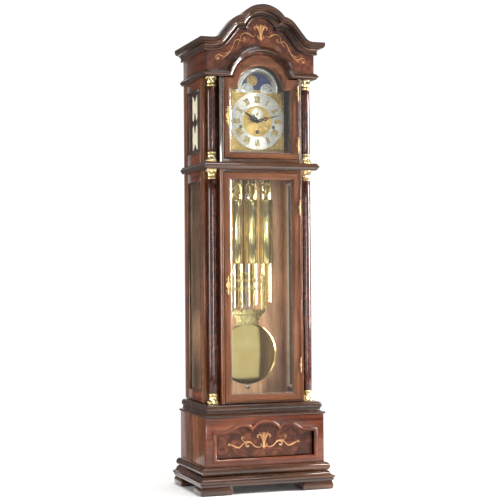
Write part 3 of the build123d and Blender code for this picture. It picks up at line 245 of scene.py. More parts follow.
def polished(name, coat):
    return blank(name, coat_weight=coat, coat_roughness=0.05, coat_ior=1.5, specular_ior_level=0.2)


def wood(name, tones, along, gloss=0.28, coat=0.5):
    """Polished straight-grained wood. tones run from the dark late wood to the light early wood."""
    made = polished(name, coat)
    _, tree, _, coords = made
    coarse, fine = [34.0] * 3, [520.0] * 3
    coarse[along], fine[along] = 2.4, 22.0
    grain = noise(tree, coords, 1.0, 5.0, 0.6, 0.5, stretch=coarse)
    figure = noise(tree, coords, 5.0, 2.0, 0.5, 0.6)
    pores = noise(tree, coords, 1.0, 2.0, stretch=fine)
    dark, mid, light = tones
    colour = ramp(tree, grain, (0.3, dark), (0.5, mid), (0.7, light))
    shade = ramp(tree, figure, (0.3, (0.74, 0.7, 0.68, 1)), (0.7, (1.16, 1.12, 1.1, 1)))
    colour = blend_colour(tree, 1.0, colour, shade, "MULTIPLY")
    fleck = ramp(tree, pores, (0.34, (0.62, 0.55, 0.5, 1)), (0.46, (1, 1, 1, 1)))
    colour = blend_colour(tree, 0.8, colour, fleck, "MULTIPLY")
    return dress(made, colour, (pores, gloss + 0.08, gloss - 0.08), pores, 0.12, 0.0004)


def burr(name, tones, scale=13.0):
    """Burr veneer: swirling knotty figure under a high polish."""
    made = polished(name, 0.6)
    _, tree, _, coords = made
    swirl = noise(tree, coords, scale, 6.0, 0.62, 2.2)
    cells = add(tree, "TexVoronoi", {"Scale": scale * 3.4, "Randomness": 1.0}, {"Vector": coords})
    dark, mid, light = tones
    colour = ramp(tree, swirl, (0.34, dark), (0.52, mid), (0.66, light))
    eye = ramp(tree, cells.outputs["Distance"], (0.04, (0.5, 0.44, 0.42, 1)), (0.3, (1, 1, 1, 1)))
    colour = blend_colour(tree, 0.55, colour, eye, "MULTIPLY")
    return dress(made, colour, (swirl, 0.32, 0.2), swirl, 0.08, 0.0004)


def metal(name, low, high, rough, scale=30.0, stretch=(1, 1, 1), metallic=1.0):
    """Polished or brushed metal whose colour and roughness drift a little over its surface."""
    made = blank(name, metallic=metallic)
    _, tree, _, coords = made
    drift = noise(tree, coords, scale, 4.0, 0.6, 0.3, stretch=stretch)
    scratch = noise(tree, coords, scale, 2.0, stretch=[s * 14 for s in stretch])
    colour = ramp(tree, drift, (0.35, low), (0.65, high))
    return dress(made, colour, (scratch, rough * 0.75, rough * 1.3), scratch, 0.03)


def gilt_casting(name):
    """Cast and gilt relief, mottled by its fine scrollwork."""
    scale, rough = 170.0, 0.38
    made = blank(name, metallic=0.8)
    _, tree, _, coords = made
    cells = add(tree, "TexVoronoi", {"Scale": scale, "Randomness": 0.9}, {"Vector": coords})
    scroll = noise(tree, coords, scale * 0.8, 4.0, 0.6, 3.0)
    height = blend_colour(tree, 0.5, cells.outputs["Distance"], scroll)
    colour = ramp(tree, height, (0.3, (112, 84, 44)), (0.55, (206, 172, 108)))
    return dress(made, colour, (scroll, rough * 1.3, rough * 0.7), height, 1.0, 0.0015)


def spun_silver(name):
    """Silvered brass, brushed in circles and softly engraved with leaf scrolls."""
    pale, deep = (240, 234, 226), (96, 88, 116)
    made = blank(name, metallic=0.72, anisotropic=0.85)
    _, tree, shader, coords = made
    turn = add(tree, "Tangent", direction_type="RADIAL", axis="Y").outputs["Tangent"]
    tree.links.new(turn, shader.inputs["Tangent"])
    scroll = noise(tree, coords, 58.0, 4.0, 0.6, 2.6)
    clouds = noise(tree, coords, 16.0, 2.0)
    into_line = ramp(tree, scroll, (0.45, pale), (0.5, deep))
    out_of_line = ramp(tree, scroll, (0.5, deep), (0.55, (236, 230, 222)))
    past = add(tree, "Math", {1: 0.5}, {0: scroll}, operation="GREATER_THAN").outputs[0]
    engraved = blend_colour(tree, past, into_line, out_of_line)
    plain = ramp(tree, clouds, (0.3, (200, 194, 190)), (0.7, pale))
    colour = blend_colour(tree, 0.7, plain, engraved)
    return dress(made, colour, (scroll, 0.3, 0.42), scroll, 0.05)


def pane(name, tint, rough, least=0.035):
    """Clear glass in a thin pane: what is behind shows through, with a mirror over it."""
    material = bpy.data.materials.new(name)
    material.use_nodes = True
    tree = material.node_tree
    tree.nodes.remove(tree.nodes["Principled BSDF"])
    smear = noise(tree, add(tree, "TexCoord").outputs["Object"], 9.0, 2.0)
    through = add(tree, "BsdfTransparent", {"Color": tint})
    mirror = add(tree, "BsdfGlossy", links={"Roughness": spread(tree, smear, rough, rough * 1.8)})
    facing_away = add(tree, "LayerWeight", {"Blend": 0.5}).outputs["Facing"]
    steep = add(tree, "Math", {1: 4.0}, {0: facing_away}, operation="POWER").outputs[0]
    share = spread(tree, steep, least, 0.55)
    both = add(tree, "MixShader", links={0: share, 1: through.outputs[0], 2: mirror.outputs[0]})
    tree.links.new(both.outputs[0], tree.nodes["Material Output"].inputs["Surface"])
    return material


def weave(name):
    """Plain-woven cream cloth."""
    made = blank(name, roughness=0.9, sheen_weight=0.25)
    _, tree, _, coords = made
    warp, weft = (add(tree, "TexWave", {"Scale": 420.0, "Distortion": 0.4}, {"Vector": coords},
                      bands_direction=way).outputs["Fac"] for way in "YZ")
    threads = add(tree, "Math", links={0: warp, 1: weft}, operation="MAXIMUM").outputs[0]
    colour = ramp(tree, threads, (0.2, (222, 205, 165)), (0.9, (248, 238, 210)))
    return dress(made, colour, None, threads, 0.4, 0.0004)


def night_sky(name):
    """Deep blue lacquer, clouded with violet, for the moon's sky."""
    made = blank(name, coat_weight=0.4)
    _, tree, _, coords = made
    clouds = noise(tree, coords, 45.0, 4.0, 0.6, 1.2)
    colour = ramp(tree, clouds, (0.3, (28, 34, 84)), (0.5, (44, 52, 112)), (0.7, (70, 72, 128)))
    return dress(made, colour, (clouds, 0.4, 0.3), clouds, 0.1)


X_GRAIN, Y_GRAIN, Z_GRAIN = 0, 1, 2
MAHOGANY = ((80, 46, 31), (118, 74, 51), (148, 98, 70))
DOOR_RED = ((72, 43, 29), (108, 69, 47), (136, 91, 64))
CASE_RED = ((70, 36, 24), (103, 56, 38), (131, 76, 52))
DARK_RED = ((41, 26, 18), (68, 44, 31), (96, 65, 46))
BURR_RED = ((50, 24, 16), (86, 46, 31), (120, 70, 47))
BURR_SHAFT = ((36, 18, 15), (70, 36, 28), (100, 56, 45))
PALE_PANEL = ((196, 146, 112), (220, 174, 140), (238, 200, 168))
# The glazing beads' near-white tones are a painted highlight: real beads, whitened to stand in for light
# falling on the rebate face inside the side glass.
BEAD_HIGHLIGHT_TONES = ((214, 188, 164), (234, 214, 194), (246, 232, 216))
MAPLE = ((186, 132, 84), (211, 160, 106), (230, 188, 138))

# Each look's finish slot and its material.
looks = {
    "dark_x": ("dark_wood", wood("dark_wood_across", DARK_RED, X_GRAIN, coat=1.0)),
    "dark_z": ("dark_wood", wood("dark_wood_upright", DARK_RED, Z_GRAIN, coat=1.0)),
    "case_x": ("case_wood", wood("case_wood_across", CASE_RED, X_GRAIN)),
    "case_y": ("case_wood", wood("case_wood_deep", CASE_RED, Y_GRAIN)),
    "case_z": ("case_wood", wood("case_wood_upright", MAHOGANY, Z_GRAIN)),
    "door_x": ("door_wood", wood("door_wood_across", DOOR_RED, X_GRAIN)),
    "door_z": ("door_wood", wood("door_wood_upright", DOOR_RED, Z_GRAIN)),
    "burr": ("burr_wood", burr("burr_veneer", BURR_RED)),
    "burr_column": ("burr_wood", burr("burr_column", BURR_SHAFT, 22.0)),
    "back": ("back_wood", wood("back_panel_wood", PALE_PANEL, Z_GRAIN, 0.4, 0.2)),
    "bead_highlight": ("door_wood", wood("bead_highlight_wood", BEAD_HIGHLIGHT_TONES, Z_GRAIN, 0.3, 0.5)),
    "inlay": ("inlay_wood", wood("inlay_maple", MAPLE, Z_GRAIN, 0.35, 0.3)),
    "side_glass": ("side_glass", pane("side_glass", (0.9, 0.92, 0.9, 1), 0.02)),
    "door_glass": ("door_glass", pane("door_glass", (0.95, 0.97, 0.95, 1), 0.01)),
    "bevel": ("door_glass", pane("glass_bevel", (0.97, 0.96, 0.92, 1), 0.12, 0.24)),
    "cloth": ("cloth", weave("fret_cloth")),
    "gilt": ("gilt", gilt_casting("gilt_casting")),
    "silver": ("silvered", spun_silver("silvered_ring")),
    "sky": ("moon_paint", night_sky("night_sky")),
}
# Metals: look, slot, material, dark colour, light colour, roughness, scale, stretch, metallic.
for look, slot, *settings in (
    ("brass", "brass", "polished_brass", (226, 204, 146), (248, 232, 186), 0.16, 30.0, (1, 1, 1), 0.95),
    ("antique", "brass", "antique_brass", (140, 112, 84), (190, 160, 124), 0.36, 60.0, (1, 1, 1), 0.8),
    ("brass_pale", "brass", "lyre_brass", (232, 204, 136), (248, 226, 164), 0.26, 24.0, (1, 1, 1), 0.8),
    ("gilt_smooth", "gilt", "gilt_relief", (184, 150, 92), (226, 196, 132), 0.32, 60.0, (1, 1, 1), 0.8),
    ("tube_brass", "tube_brass", "tube_brass", (224, 202, 146), (240, 224, 180), 0.24, 6.0, (6, 6, 1), 0.8),
    ("bob_brass", "bob_brass", "bob_brass", (234, 204, 134), (244, 218, 154), 0.1, 9.0, (1, 1, 1), 0.9),
    ("weight_brass", "weight_brass", "weight_brass", (232, 204, 136), (248, 226, 166), 0.16, 5.0, (5, 5, 1),
     0.75),
    ("silver_smooth", "silvered", "silvered_globe", (170, 170, 172), (226, 226, 226), 0.3, 70.0),
    ("black", "hand_black", "blued_black", (12, 11, 13), (26, 24, 27), 0.4, 60.0, (1, 1, 1), 0.2),
    ("steel", "steel", "steel", (150, 150, 152), (196, 196, 198), 0.25, 40.0),
    ("cable_steel", "cable_steel", "cable_steel", (180, 170, 140), (214, 204, 176), 0.3, 200.0, (1, 1, 8)),
):
    looks[look] = (slot, metal(*settings))
SLOT_LOOKS = {slot: look for look, (slot, _) in reversed(looks.items())}
SLOT_LOOKS.update(case_wood="case_z", door_wood="door_z", brass="antique", silvered="silver_smooth")


def finish_frame_nodes():
    """Every CAD node gets the material of its slot."""
    for part in frame["record"]["subparts"]:
        _, material = looks[SLOT_LOOKS[part["material_slot"]]]
        for place in frame["nodes"][part["node"]].material_slots:
            place.material = material


finish_frame_nodes()


# ---- Mesh helpers --------------------------------------------------------------------------------
def piece(name, bm, look, body="case", stands_for="", sharp=38.0):
    """A mesh piece that rides on a body, with its look and the CAD nodes it stands for."""
    bmesh.ops.remove_doubles(bm, verts=bm.verts, dist=1e-6)
    bmesh.ops.dissolve_degenerate(bm, edges=bm.edges, dist=1e-6)
    bmesh.ops.recalc_face_normals(bm, faces=bm.faces)
    mesh = bpy.data.meshes.new(name)
    bm.to_mesh(mesh)
    bm.free()
    for polygon in mesh.polygons:
        polygon.use_smooth = True
    mesh.set_sharp_from_angle(angle=radians(sharp))
    made = bpy.data.objects.new(name, mesh)
    bpy.context.scene.collection.objects.link(made)
    slot, material = looks[look]
    mesh.materials.append(material)
    if body:
        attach(made, body)
    if stands_for:
        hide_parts(*stands_for.split())
    return made


def join(*meshes):
    """One bmesh from several."""
    whole = bmesh.new()
    for bm in meshes:
        loose = bpy.data.meshes.new("loose")
        bm.to_mesh(loose)
        bm.free()
        whole.from_mesh(loose)
        bpy.data.meshes.remove(loose)
    return whole


def both_sides(*meshes):
    """Meshes of the right side of the clock and their mirror images, as one."""
    right = join(*meshes)
    left = right.copy()
    bmesh.ops.scale(left, vec=(-1, 1, 1), verts=left.verts)
    bmesh.ops.reverse_faces(left, faces=left.faces)
    return join(left, right)


def loft(rows, close_rows=False, close_points=False, cap_rows=False, cap_points=False):
    """A surface through rows of points, one four-sided face between neighbours."""
    bm = bmesh.new()
    grid = [[bm.verts.new(point) for point in row] for row in rows]
    if close_rows:
        grid.append(grid[0])
    count = len(grid[0])
    for row, above in zip(grid, grid[1:]):
        for k in range(count if close_points else count - 1):
            n = (k + 1) % count
            bm.faces.new((row[k], row[n], above[n], above[k]))
    if close_rows:
        grid.pop()
    if cap_rows:
        bm.faces.new(grid[0])
        bm.faces.new(grid[-1][::-1])
    if cap_points:
        bm.faces.new([row[0] for row in grid])
        bm.faces.new([row[-1] for row in grid][::-1])
    return bm


def slab(x0, x1, depth0, depth1, z0, z1, soft=1.2):
    """A board with softened edges."""
    bm = bmesh.new()
    bmesh.ops.create_cube(bm, size=1.0)
    size = Matrix.Diagonal(((x1 - x0) * MM, (depth1 - depth0) * MM, (z1 - z0) * MM, 1))
    centre = at((x0 + x1) / 2, (depth0 + depth1) / 2, (z0 + z1) / 2)
    bmesh.ops.transform(bm, matrix=Matrix.Translation(centre) @ size, verts=bm.verts)
    bmesh.ops.bevel(bm, geom=bm.edges[:], offset=soft * MM, segments=2, affect="EDGES", profile=0.5)
    return bm


def prism(outlines, depth0, depth1, soft=0.0):
    """A flat piece from (x, z) outlines, the first outside and the others holes."""
    bm = bmesh.new()
    edges = []
    for line in outlines:
        corners = [bm.verts.new(at(x, depth0, z)) for x, z in line]
        edges += [bm.edges.new((a, b)) for a, b in zip(corners, corners[1:] + corners[:1])]
    bmesh.ops.triangle_fill(bm, edges=edges, use_beauty=True, use_dissolve=False)
    grown = bmesh.ops.extrude_face_region(bm, geom=bm.faces[:])
    front = [item for item in grown["geom"] if isinstance(item, bmesh.types.BMVert)]
    bmesh.ops.translate(bm, vec=at(0, depth1, 0) - at(0, depth0, 0), verts=front)
    if soft:
        front = set(front)
        rim = [e for e in bm.edges if front.issuperset(e.verts) and len(e.link_faces) == 2
               and e.calc_face_angle(0) > radians(50)]
        bmesh.ops.bevel(bm, geom=rim, offset=soft * MM, segments=2, affect="EDGES", profile=0.5,
                        clamp_overlap=True)
    return bm


def spin(place, profile, steps=48, closed=False, ripple=None):
    """A turned shape from (radius, along) points. ripple(angle, index) scales a radius."""
    rows = []
    for i, (radius, along) in enumerate(profile):
        row = []
        for k in range(steps):
            angle = 2 * pi * k / steps
            r = radius * (ripple(angle, i) if ripple else 1.0)
            row.append(place(r * cos(angle), r * sin(angle), along))
        rows.append(row)
    return loft(rows, close_rows=closed, close_points=True, cap_rows=not closed)


def post(x, depth, profile, steps=48, closed=False, ripple=None):
    """A shape turned about a vertical axis, from (radius, height) points."""
    return spin(lambda across, away, z: at(x + across, depth + away, z), profile, steps, closed, ripple)


def knob(x, z, depth, profile, steps=48, closed=False):
    """A shape turned about an axis that faces forward, from (radius, rise over depth) points."""
    return spin(lambda across, away, rise: at(x + across, depth + rise, z + away), profile, steps, closed)


def arc(centre, radius, start, end, steps):
    """Points of an arc in a plane, between two angles in degrees."""
    turns = [radians(start + (end - start) * i / steps) for i in range(steps + 1)]
    return [(centre[0] + radius * cos(a), centre[1] + radius * sin(a)) for a in turns]


def spiral(centre, start_r, end_r, start, end, steps=20):
    """A volute: an arc whose radius shrinks."""
    out = []
    for i in range(steps + 1):
        t = i / steps
        out += arc(centre, start_r + (end_r - start_r) * t, start + (end - start) * t, 0, 1)[:1]
    return out


def mirror_line(right):
    """The right half of an outline up to its crest, after its mirror image."""
    return [(-x, z) for x, z in right] + [point for point in reversed(right) if abs(point[0]) > 1e-6]


def waisted(right):
    """A closed outline from its right half, whose two ends are on the middle line."""
    return right + [(-x, z) for x, z in right[-2:0:-1]]


def moved(points, centre, angle=0.0):
    """Outline points turned by degrees about the origin and carried to a centre."""
    c, s = cos(radians(angle)), sin(radians(angle))
    return [(centre[0] + x * c - z * s, centre[1] + x * s + z * c) for x, z in points]


def front_rows(profile, line, depth):
    """Rows for a loft, one along line(inset) for each (inset, rise over depth) of a profile."""
    return [[at(x, depth + rise, z) for x, z in line(inset)] for inset, rise in profile]


def moulding_run(profile):
    """A moulding round the left side, the front and the right side, from (out, z) points."""
    rows = []
    for out, z in profile:
        x, depth = CASE_HALF + out, CASE_DEPTH + out
        rows.append([at(-x, 0, z), at(-x, depth, z), at(x, depth, z), at(x, 0, z)])
    return loft(rows, close_rows=True, cap_points=True)


def ribbon(path, width, depth, rise, taper):
    """A raised strip along (x, z) points on a front face. taper(t) scales its width along it."""
    rows = []
    for i, (x, z) in enumerate(path):
        x0, z0 = path[max(i - 1, 0)]
        x1, z1 = path[min(i + 1, len(path) - 1)]
        length = hypot(x1 - x0, z1 - z0) or 1.0
        nx, nz = -(z1 - z0) / length, (x1 - x0) / length
        w = 0.5 * width * taper(i / (len(path) - 1))
        section = ((-w, 0.0), (-0.8 * w, 0.8), (0.0, 1.0), (0.8 * w, 0.8), (w, 0.0))
        rows.append([at(x + nx * s, depth + rise * up, z + nz * s) for s, up in section])
    return loft(rows, close_points=True, cap_rows=True)


def smooth_path(points, steps=8):
    """A smooth line through a few chosen points."""
    padded = [points[0]] + list(points) + [points[-1]]
    out = []
    for a, b, c, d in zip(padded, padded[1:], padded[2:], padded[3:]):
        for i in range(steps):
            t = i / steps
            out.append(tuple(0.5 * (2 * b[k] + (c[k] - a[k]) * t
                                    + (2 * a[k] - 5 * b[k] + 4 * c[k] - d[k]) * t * t
                                    + (3 * b[k] - a[k] - 3 * c[k] + d[k]) * t ** 3) for k in (0, 1)))
    return out + [tuple(points[-1])]


def strokes(strands, depth, rise, steps=8):
    """Ribbons along (width, taper, points, curl) strands. Not every strand ends in a curl."""
    made = []
    for width, taper, points, *curls in strands:
        path = smooth_path(points, steps)
        for curl in curls:
            path += spiral(*curl)
        made.append(ribbon(path, width, depth, rise, taper))
    return made


def swelling(t):
    """Thin at both ends and full in the middle."""
    return 0.25 + 0.75 * sin(pi * t) ** 0.7


def tail(t):
    """Full at the start and thin at the end."""
    return 1.0 - 0.75 * t


def even(t):
    """The same width all along."""
    return 1.0


# ---- Outlines ------------------------------------------------------------------------------------
def crossing(c0, r0, c1, r1):
    """Angles, from each centre, of the upper point where two circles cross."""
    dx, dz = c1[0] - c0[0], c1[1] - c0[1]
    gap = hypot(dx, dz)
    along = (r0 * r0 - r1 * r1 + gap * gap) / (2 * gap)
    up = sqrt(r0 * r0 - along * along)
    x = c0[0] + (along * dx - up * dz) / gap
    z = c0[1] + (along * dz + up * dx) / gap
    return degrees(atan2(z - c0[1], x - c0[0])), degrees(atan2(z - c1[1], x - c1[0]))


def spring(r, rise):
    """The angle at which a circle passes a level that lies a rise above its centre."""
    return degrees(atan2(rise, sqrt(r * r - rise * rise)))


def crown_line(inset):
    """The bonnet's line from the left sweep to the right one: hollow sweeps, shoulders and a lobe."""
    lobe, lobe_r = CROWN_LOBE[0], CROWN_LOBE[1] - inset
    near, near_r = CROWN_SIDE_LOBE[0], CROWN_SIDE_LOBE[1] - inset
    sweep, sweep_r = CROWN_SWEEP[0], CROWN_SWEEP[1] + inset
    gap = hypot(sweep[0] - near[0], sweep[1] - near[1])
    lean = degrees(atan2(sweep[1] - near[1], sweep[0] - near[0]))
    slope = lean + degrees(acos((CROWN_SIDE_LOBE[1] + CROWN_SWEEP[1]) / gap))
    from_lobe, from_near = crossing(lobe, lobe_r, near, near_r)
    right = arc(sweep, sweep_r, -90, slope - 180, 12)
    right += arc(near, near_r, slope, from_near, 16)
    right += arc(lobe, lobe_r, from_lobe, 90, 16)[1:]
    return mirror_line(right)


SCALLOP_LOBE = ((0.0, 223.0), 91.0)
SCALLOP_INNER = ((98.0, 251.0), 51.0)
SCALLOP_OUTER = ((98.0, 212.0), 90.0)
SCALLOP_SWEEP_X = 197.0
SCALLOP_FLAT = 270.0
SCALLOP_HALF = 240.0
SCALLOP_BOTTOM = 135.0
SCALLOP_WIDTH = 15.0


def scallop_line(inset):
    """The base panel's outline: flat ends, two side lobes and a centre lobe."""
    lobe, lobe_r = SCALLOP_LOBE[0], SCALLOP_LOBE[1] - inset
    near, near_r = SCALLOP_INNER[0], SCALLOP_INNER[1] - inset
    far, far_r = SCALLOP_OUTER[0], SCALLOP_OUTER[1] - inset
    gap_x = SCALLOP_SWEEP_X - far[0]
    rise = SCALLOP_FLAT - far[1]
    radius = (gap_x ** 2 + rise ** 2 - SCALLOP_OUTER[1] ** 2) / (2 * (SCALLOP_OUTER[1] - rise))
    sweep = (SCALLOP_SWEEP_X, SCALLOP_FLAT + radius)
    slope = degrees(atan2(sweep[1] - far[1], sweep[0] - far[0]))
    from_lobe, from_near = crossing(lobe, lobe_r, near, near_r)
    half = SCALLOP_HALF - inset
    right = [(half, SCALLOP_BOTTOM + inset), (half, SCALLOP_FLAT - inset)]
    right += arc(sweep, radius + inset, -90, slope - 180, 10)
    right += arc(far, far_r, slope, 90, 10)[1:]
    right += arc(near, near_r, 90, from_near, 8)[1:]
    right += arc(lobe, lobe_r, from_lobe, 90, 12)[1:]
    return mirror_line(right)


def door_line(box):
    """The outline of a square-headed frame or glass, as a function of how far in it lies."""
    def line(inset):
        half, low, high = box.right - inset, box.low + inset, box.high - inset
        return [(-half, low), (-half, high), (half, high), (half, low)]

    return line


def hood_outer_line(inset):
    """The outside of the hood door, with its arched head."""
    half, shoulder, r = hood_door.right - inset, HOOD_SHOULDER - inset, HOOD_ARCH_R - inset
    start = spring(r, shoulder - HOOD_ARCH_Z)
    right = [(half, hood_door.low + inset), (half, shoulder)]
    return mirror_line(right + arc((0, HOOD_ARCH_Z), r, start, 90, 20))


def hood_inner_line(inset):
    """The hood door's glass opening."""
    half, shoulder, r = hood_glass.right - inset, GLASS_SPRING - inset, GLASS_ARCH_R - inset
    right = [(half, hood_glass.low + inset), (half, shoulder)]
    return mirror_line(right + arc((0, GLASS_SPRING), r, spring(r, -inset), 90, 20))


def cornice_arch(r, low, steps):
    """The right half of an arch over the hood door, from a level up to its crest."""
    return arc((0, HOOD_ARCH_Z), r, spring(r, low - HOOD_ARCH_Z), 90, steps)


# ---- Base ----------------------------------------------------------------------------------------
def foot(x0, x1, depth0, depth1):
    """A block foot with bulged sides and rounded corners."""
    rows = []
    for level, inset in ((0, 9), (0.06, 4), (0.18, 1.2), (0.38, 0), (0.62, 1), (0.85, 3.5), (1, 7)):
        a, b, c, d = x0 + inset + 4, x1 - inset - 4, depth0 + inset + 4, depth1 - inset - 4
        loop = []
        for i, corner in enumerate(((b, d), (a, d), (a, c), (b, c))):
            loop += arc(corner, 4, 90 * i, 90 * i + 90, 4)
        rows.append([at(x, depth, feet.low + level * (feet.high - feet.low)) for x, depth in loop])
    return loft(rows, close_points=True, cap_rows=True)


def plinth_profile(low, high):
    step = low + 14
    profile = [(-20, low), (54, low), (56, low + 4), (57, low + 9), (55.5, step - 1), (55.5, step),
               (61, step), (62, step + 1), (62, step + 7), (61, step + 8)]
    profile += arc((62, step + 28), 20, 255, 190, 6)
    profile += [(41, step + 26), (37, step + 27)]
    profile += arc((28.5, high - 17.5), 17, -72, 72, 12)
    return profile + [(33, high), (BASE_HALF - CASE_HALF, high), (-20, high - 20)]


def waist_profile(low, high):
    profile = [(-18, low), (26, low)] + arc((25, low + 5), 5, -80, 80, 8)
    profile += [(24, low + 10), (19, low + 10)]
    profile += arc((20, low + 19.5), 8.5, 262, 175, 6)
    return profile + arc((2.5, low + 37.5), 15.8, -52, 78, 12) + [(-18, high)]


def make_base():
    inner, foot_length = feet.right - 145.0, 112.0
    right_feet = [foot(inner, feet.right, near, near + foot_length) for near in (0, feet.front - foot_length)]
    piece("block_feet", both_sides(*right_feet), "dark_x", stands_for="feet")
    low, high = plinth.high, base.high
    piece("plinth", moulding_run(plinth_profile(plinth.low, low)), "dark_x", stands_for="plinth_moulding")

    back, inner = BASE_DEPTH - FRONT_BOARD, BASE_HALF - BOARD
    box = [(-BASE_HALF, low), (-BASE_HALF, high), (BASE_HALF, high), (BASE_HALF, low)]
    piece("base_front", prism([box, scallop_line(SCALLOP_WIDTH)], back, BASE_DEPTH, 0.8), "case_x",
          stands_for="base_boards")
    piece("base_sides", both_sides(slab(inner, BASE_HALF, 0, back, low, high, 0.8)), "case_z")
    floor = CASE_HALF - FRONT_BOARD
    hidden = join(slab(-inner, inner, 0, 10, low, high),
                  slab(-floor, floor, 0, CASE_DEPTH - FRONT_BOARD, base.low, base.low + BOARD))
    piece("base_back_and_floor", hidden, "dark_x")

    piece("base_burr_panel", prism([scallop_line(SCALLOP_WIDTH - 8)], back - 8, back), "burr",
          stands_for="base_panel")
    profile = [(0, -1), (0, 4.2), (0.8, 5.2), (2.2, 5.6), (3, 6.8), (4.6, 8.4), (7, 9), (9.5, 8.6),
               (11.4, 7.4), (12.4, 5.8), (13.6, 5.2), (14.6, 4.2), (15, 2.5), (15, 0.5 - FRONT_BOARD),
               (13, -1)]
    frame_rows = front_rows(profile, scallop_line, BASE_DEPTH)
    piece("base_scallop_moulding", loft(frame_rows, close_rows=True, close_points=True), "case_x",
          stands_for="base_panel_moulding")
    piece("waist_moulding", moulding_run(waist_profile(waist.low, waist.high)), "dark_x",
          stands_for="lower_moulding")


# ---- Trunk and hood carcass ----------------------------------------------------------------------
def side_frame(low, high, opening):
    """The stiles and the rails of the right side frame."""
    inner, (near, far) = CASE_HALF - BOARD, SIDE_OPENING
    stiles = [slab(inner, CASE_HALF, a, b, low, high) for a, b in ((0, near), (far, NOTCH_DEPTH))]
    rails = [slab(inner, CASE_HALF, near, far, a, b) for a, b in ((low, opening[0]), (opening[1], high))]
    return stiles, rails


def side_lining(opening, width, profile):
    """A thin moulded frame inside the opening of both side frames, from (share of width, x) points."""
    (near, far), (low, high) = SIDE_OPENING, opening
    rows = []
    for share, x in profile:
        a, b, c, d = near + share * width, far - share * width, low + share * width, high - share * width
        rows.append([at(x, a, c), at(x, a, d), at(x, b, d), at(x, b, c)])
    return both_sides(loft(rows, close_rows=True, close_points=True))


def corner_stiles(low, high, door):
    """The reeded stiles beside a door, with the returns behind the columns."""
    a, b, front, back = door.right + DOOR_GAP, NOTCH_X, STILE_DEPTH, NOTCH_DEPTH - 8
    profile = [(a, back), (a, front - 1), (a + 1, front)]
    profile += arc((a + 4.5, front - 0.5), 2.6, 170, 10, 6) + [(a + 8, front - 2.2)]
    profile += arc((a + 10.8, front - 0.5), 2.2, 170, 10, 6)
    profile += [(b - 0.8, front - 1.2), (b, front - 2.2), (b, back)]
    stile = loft([[at(x, d, z) for x, d in profile] for z in (low, high)], close_points=True, cap_rows=True)
    return both_sides(stile, slab(a, CASE_HALF - BOARD, NOTCH_DEPTH - 12, NOTCH_DEPTH, low, high))


def front_rail(door, low, high):
    half = door.right + DOOR_GAP
    return slab(-half, half, STILE_DEPTH - 20, STILE_DEPTH, low, high)


def make_carcass():
    trunk_low, trunk_high = waist.high, middle.low
    hood_low, hood_high = middle.high, cornice.low
    outer, inner = CASE_HALF, CASE_HALF - BOARD
    (near, far) = SIDE_OPENING

    stiles, rails = side_frame(trunk_low, trunk_high, TRUNK_OPENING)
    piece("trunk_side_stiles", both_sides(*stiles), "case_z", stands_for="trunk_side_frames")
    piece("trunk_side_rails", both_sides(*rails), "case_y")
    stiles, rails = side_frame(hood_low, hood_high, HOOD_OPENING)
    frieze = slab(inner, outer, 0, CASE_DEPTH - FRONT_BOARD, cornice.low + CORNICE_H, roof.low)
    piece("hood_side_stiles", both_sides(*stiles), "case_z", stands_for="hood_side_frames")
    piece("hood_side_rails", both_sides(*rails, frieze), "case_y")

    lip = [(0.0, outer - 5), (0.0, outer + 0.4), (0.18, outer + 1.2), (0.4, outer + 0.6),
           (0.62, outer - 3), (1.0, outer - 4.5), (1.0, outer - 6)]
    deep = [(0.0, outer - 6.2), (0.0, outer - 1), (0.3, outer + 0.5), (0.6, outer - 1),
            (1.0, outer - 4), (1.0, outer - 6.2)]
    glazing = [(-1.0, inner + 6), (-1.0, inner - 2.5), (-0.6, inner - 4.0), (0.0, inner - 2.4),
               (0.5, inner + 2), (0.8, inner + 6)]
    piece("trunk_side_beads", side_lining(TRUNK_OPENING, 9, lip), "dark_z")
    piece("hood_side_beads", side_lining(HOOD_OPENING, 13, deep), "dark_z")
    # Real glazing beads round the trunk side glass; their near-white wood is a painted highlight for the lit
    # rebate face.
    piece("glazing_beads", side_lining(TRUNK_OPENING, 6, glazing), "bead_highlight")
    linings = [slab(inner - 2, inner, a, b, trunk_low + 1, trunk_high - 1, 0.4)
               for a, b in ((11, near - 7), (far + 7, NOTCH_DEPTH - 13))]
    piece("inner_linings", both_sides(*linings), "back")

    piece("trunk_corner_stiles", corner_stiles(trunk_low, trunk_high, trunk_door), "case_z",
          stands_for="trunk_front_frame")
    rails = join(front_rail(trunk_door, trunk_low, trunk_door.low - DOOR_GAP),
                 front_rail(trunk_door, trunk_door.high + DOOR_GAP, trunk_high))
    piece("trunk_front_rails", rails, "dark_x")
    piece("hood_corner_stiles", corner_stiles(hood_low, hood_high, hood_door), "dark_z",
          stands_for="hood_front_frame")
    piece("hood_front_rail", front_rail(hood_door, hood_low, hood_door.low - DOOR_GAP), "dark_x")
    piece("mid_nosing", moulding_run(nosing(middle.low, middle.high)), "dark_x", stands_for="mid_moulding")


def nosing(low, high):
    """A moulding with a rounded nose between two shallow hollows."""
    mid, half = (low + high) / 2, (high - low) / 2
    upper = [(0.50, 0.96), (0.56, 0.80), (0.64, 0.62), (0.76, 0.42), (0.88, 0.26), (0.96, 0.14), (1.0, 0.03)]
    profile = [(-BOARD, low), (0.45 * NOSE_PROUD, low)]
    profile += [(out * NOSE_PROUD, mid - up * half) for out, up in upper]
    profile += [(out * NOSE_PROUD, mid + up * half) for out, up in reversed(upper)]
    return profile + [(0.45 * NOSE_PROUD, high), (-BOARD, high)]


# ---- Columns and capitals ------------------------------------------------------------------------
def shaft(low, high):
    """A column that swells a little in the middle."""
    rings = [(COLUMN_R + 0.9 * sin(pi * i / 12), low + (high - low) * i / 12) for i in range(13)]
    rings = [(COLUMN_R - 1.5, low - 2)] + rings + [(COLUMN_R - 1.5, high + 2)]
    return post(COLUMN_X, COLUMN_DEPTH, rings)


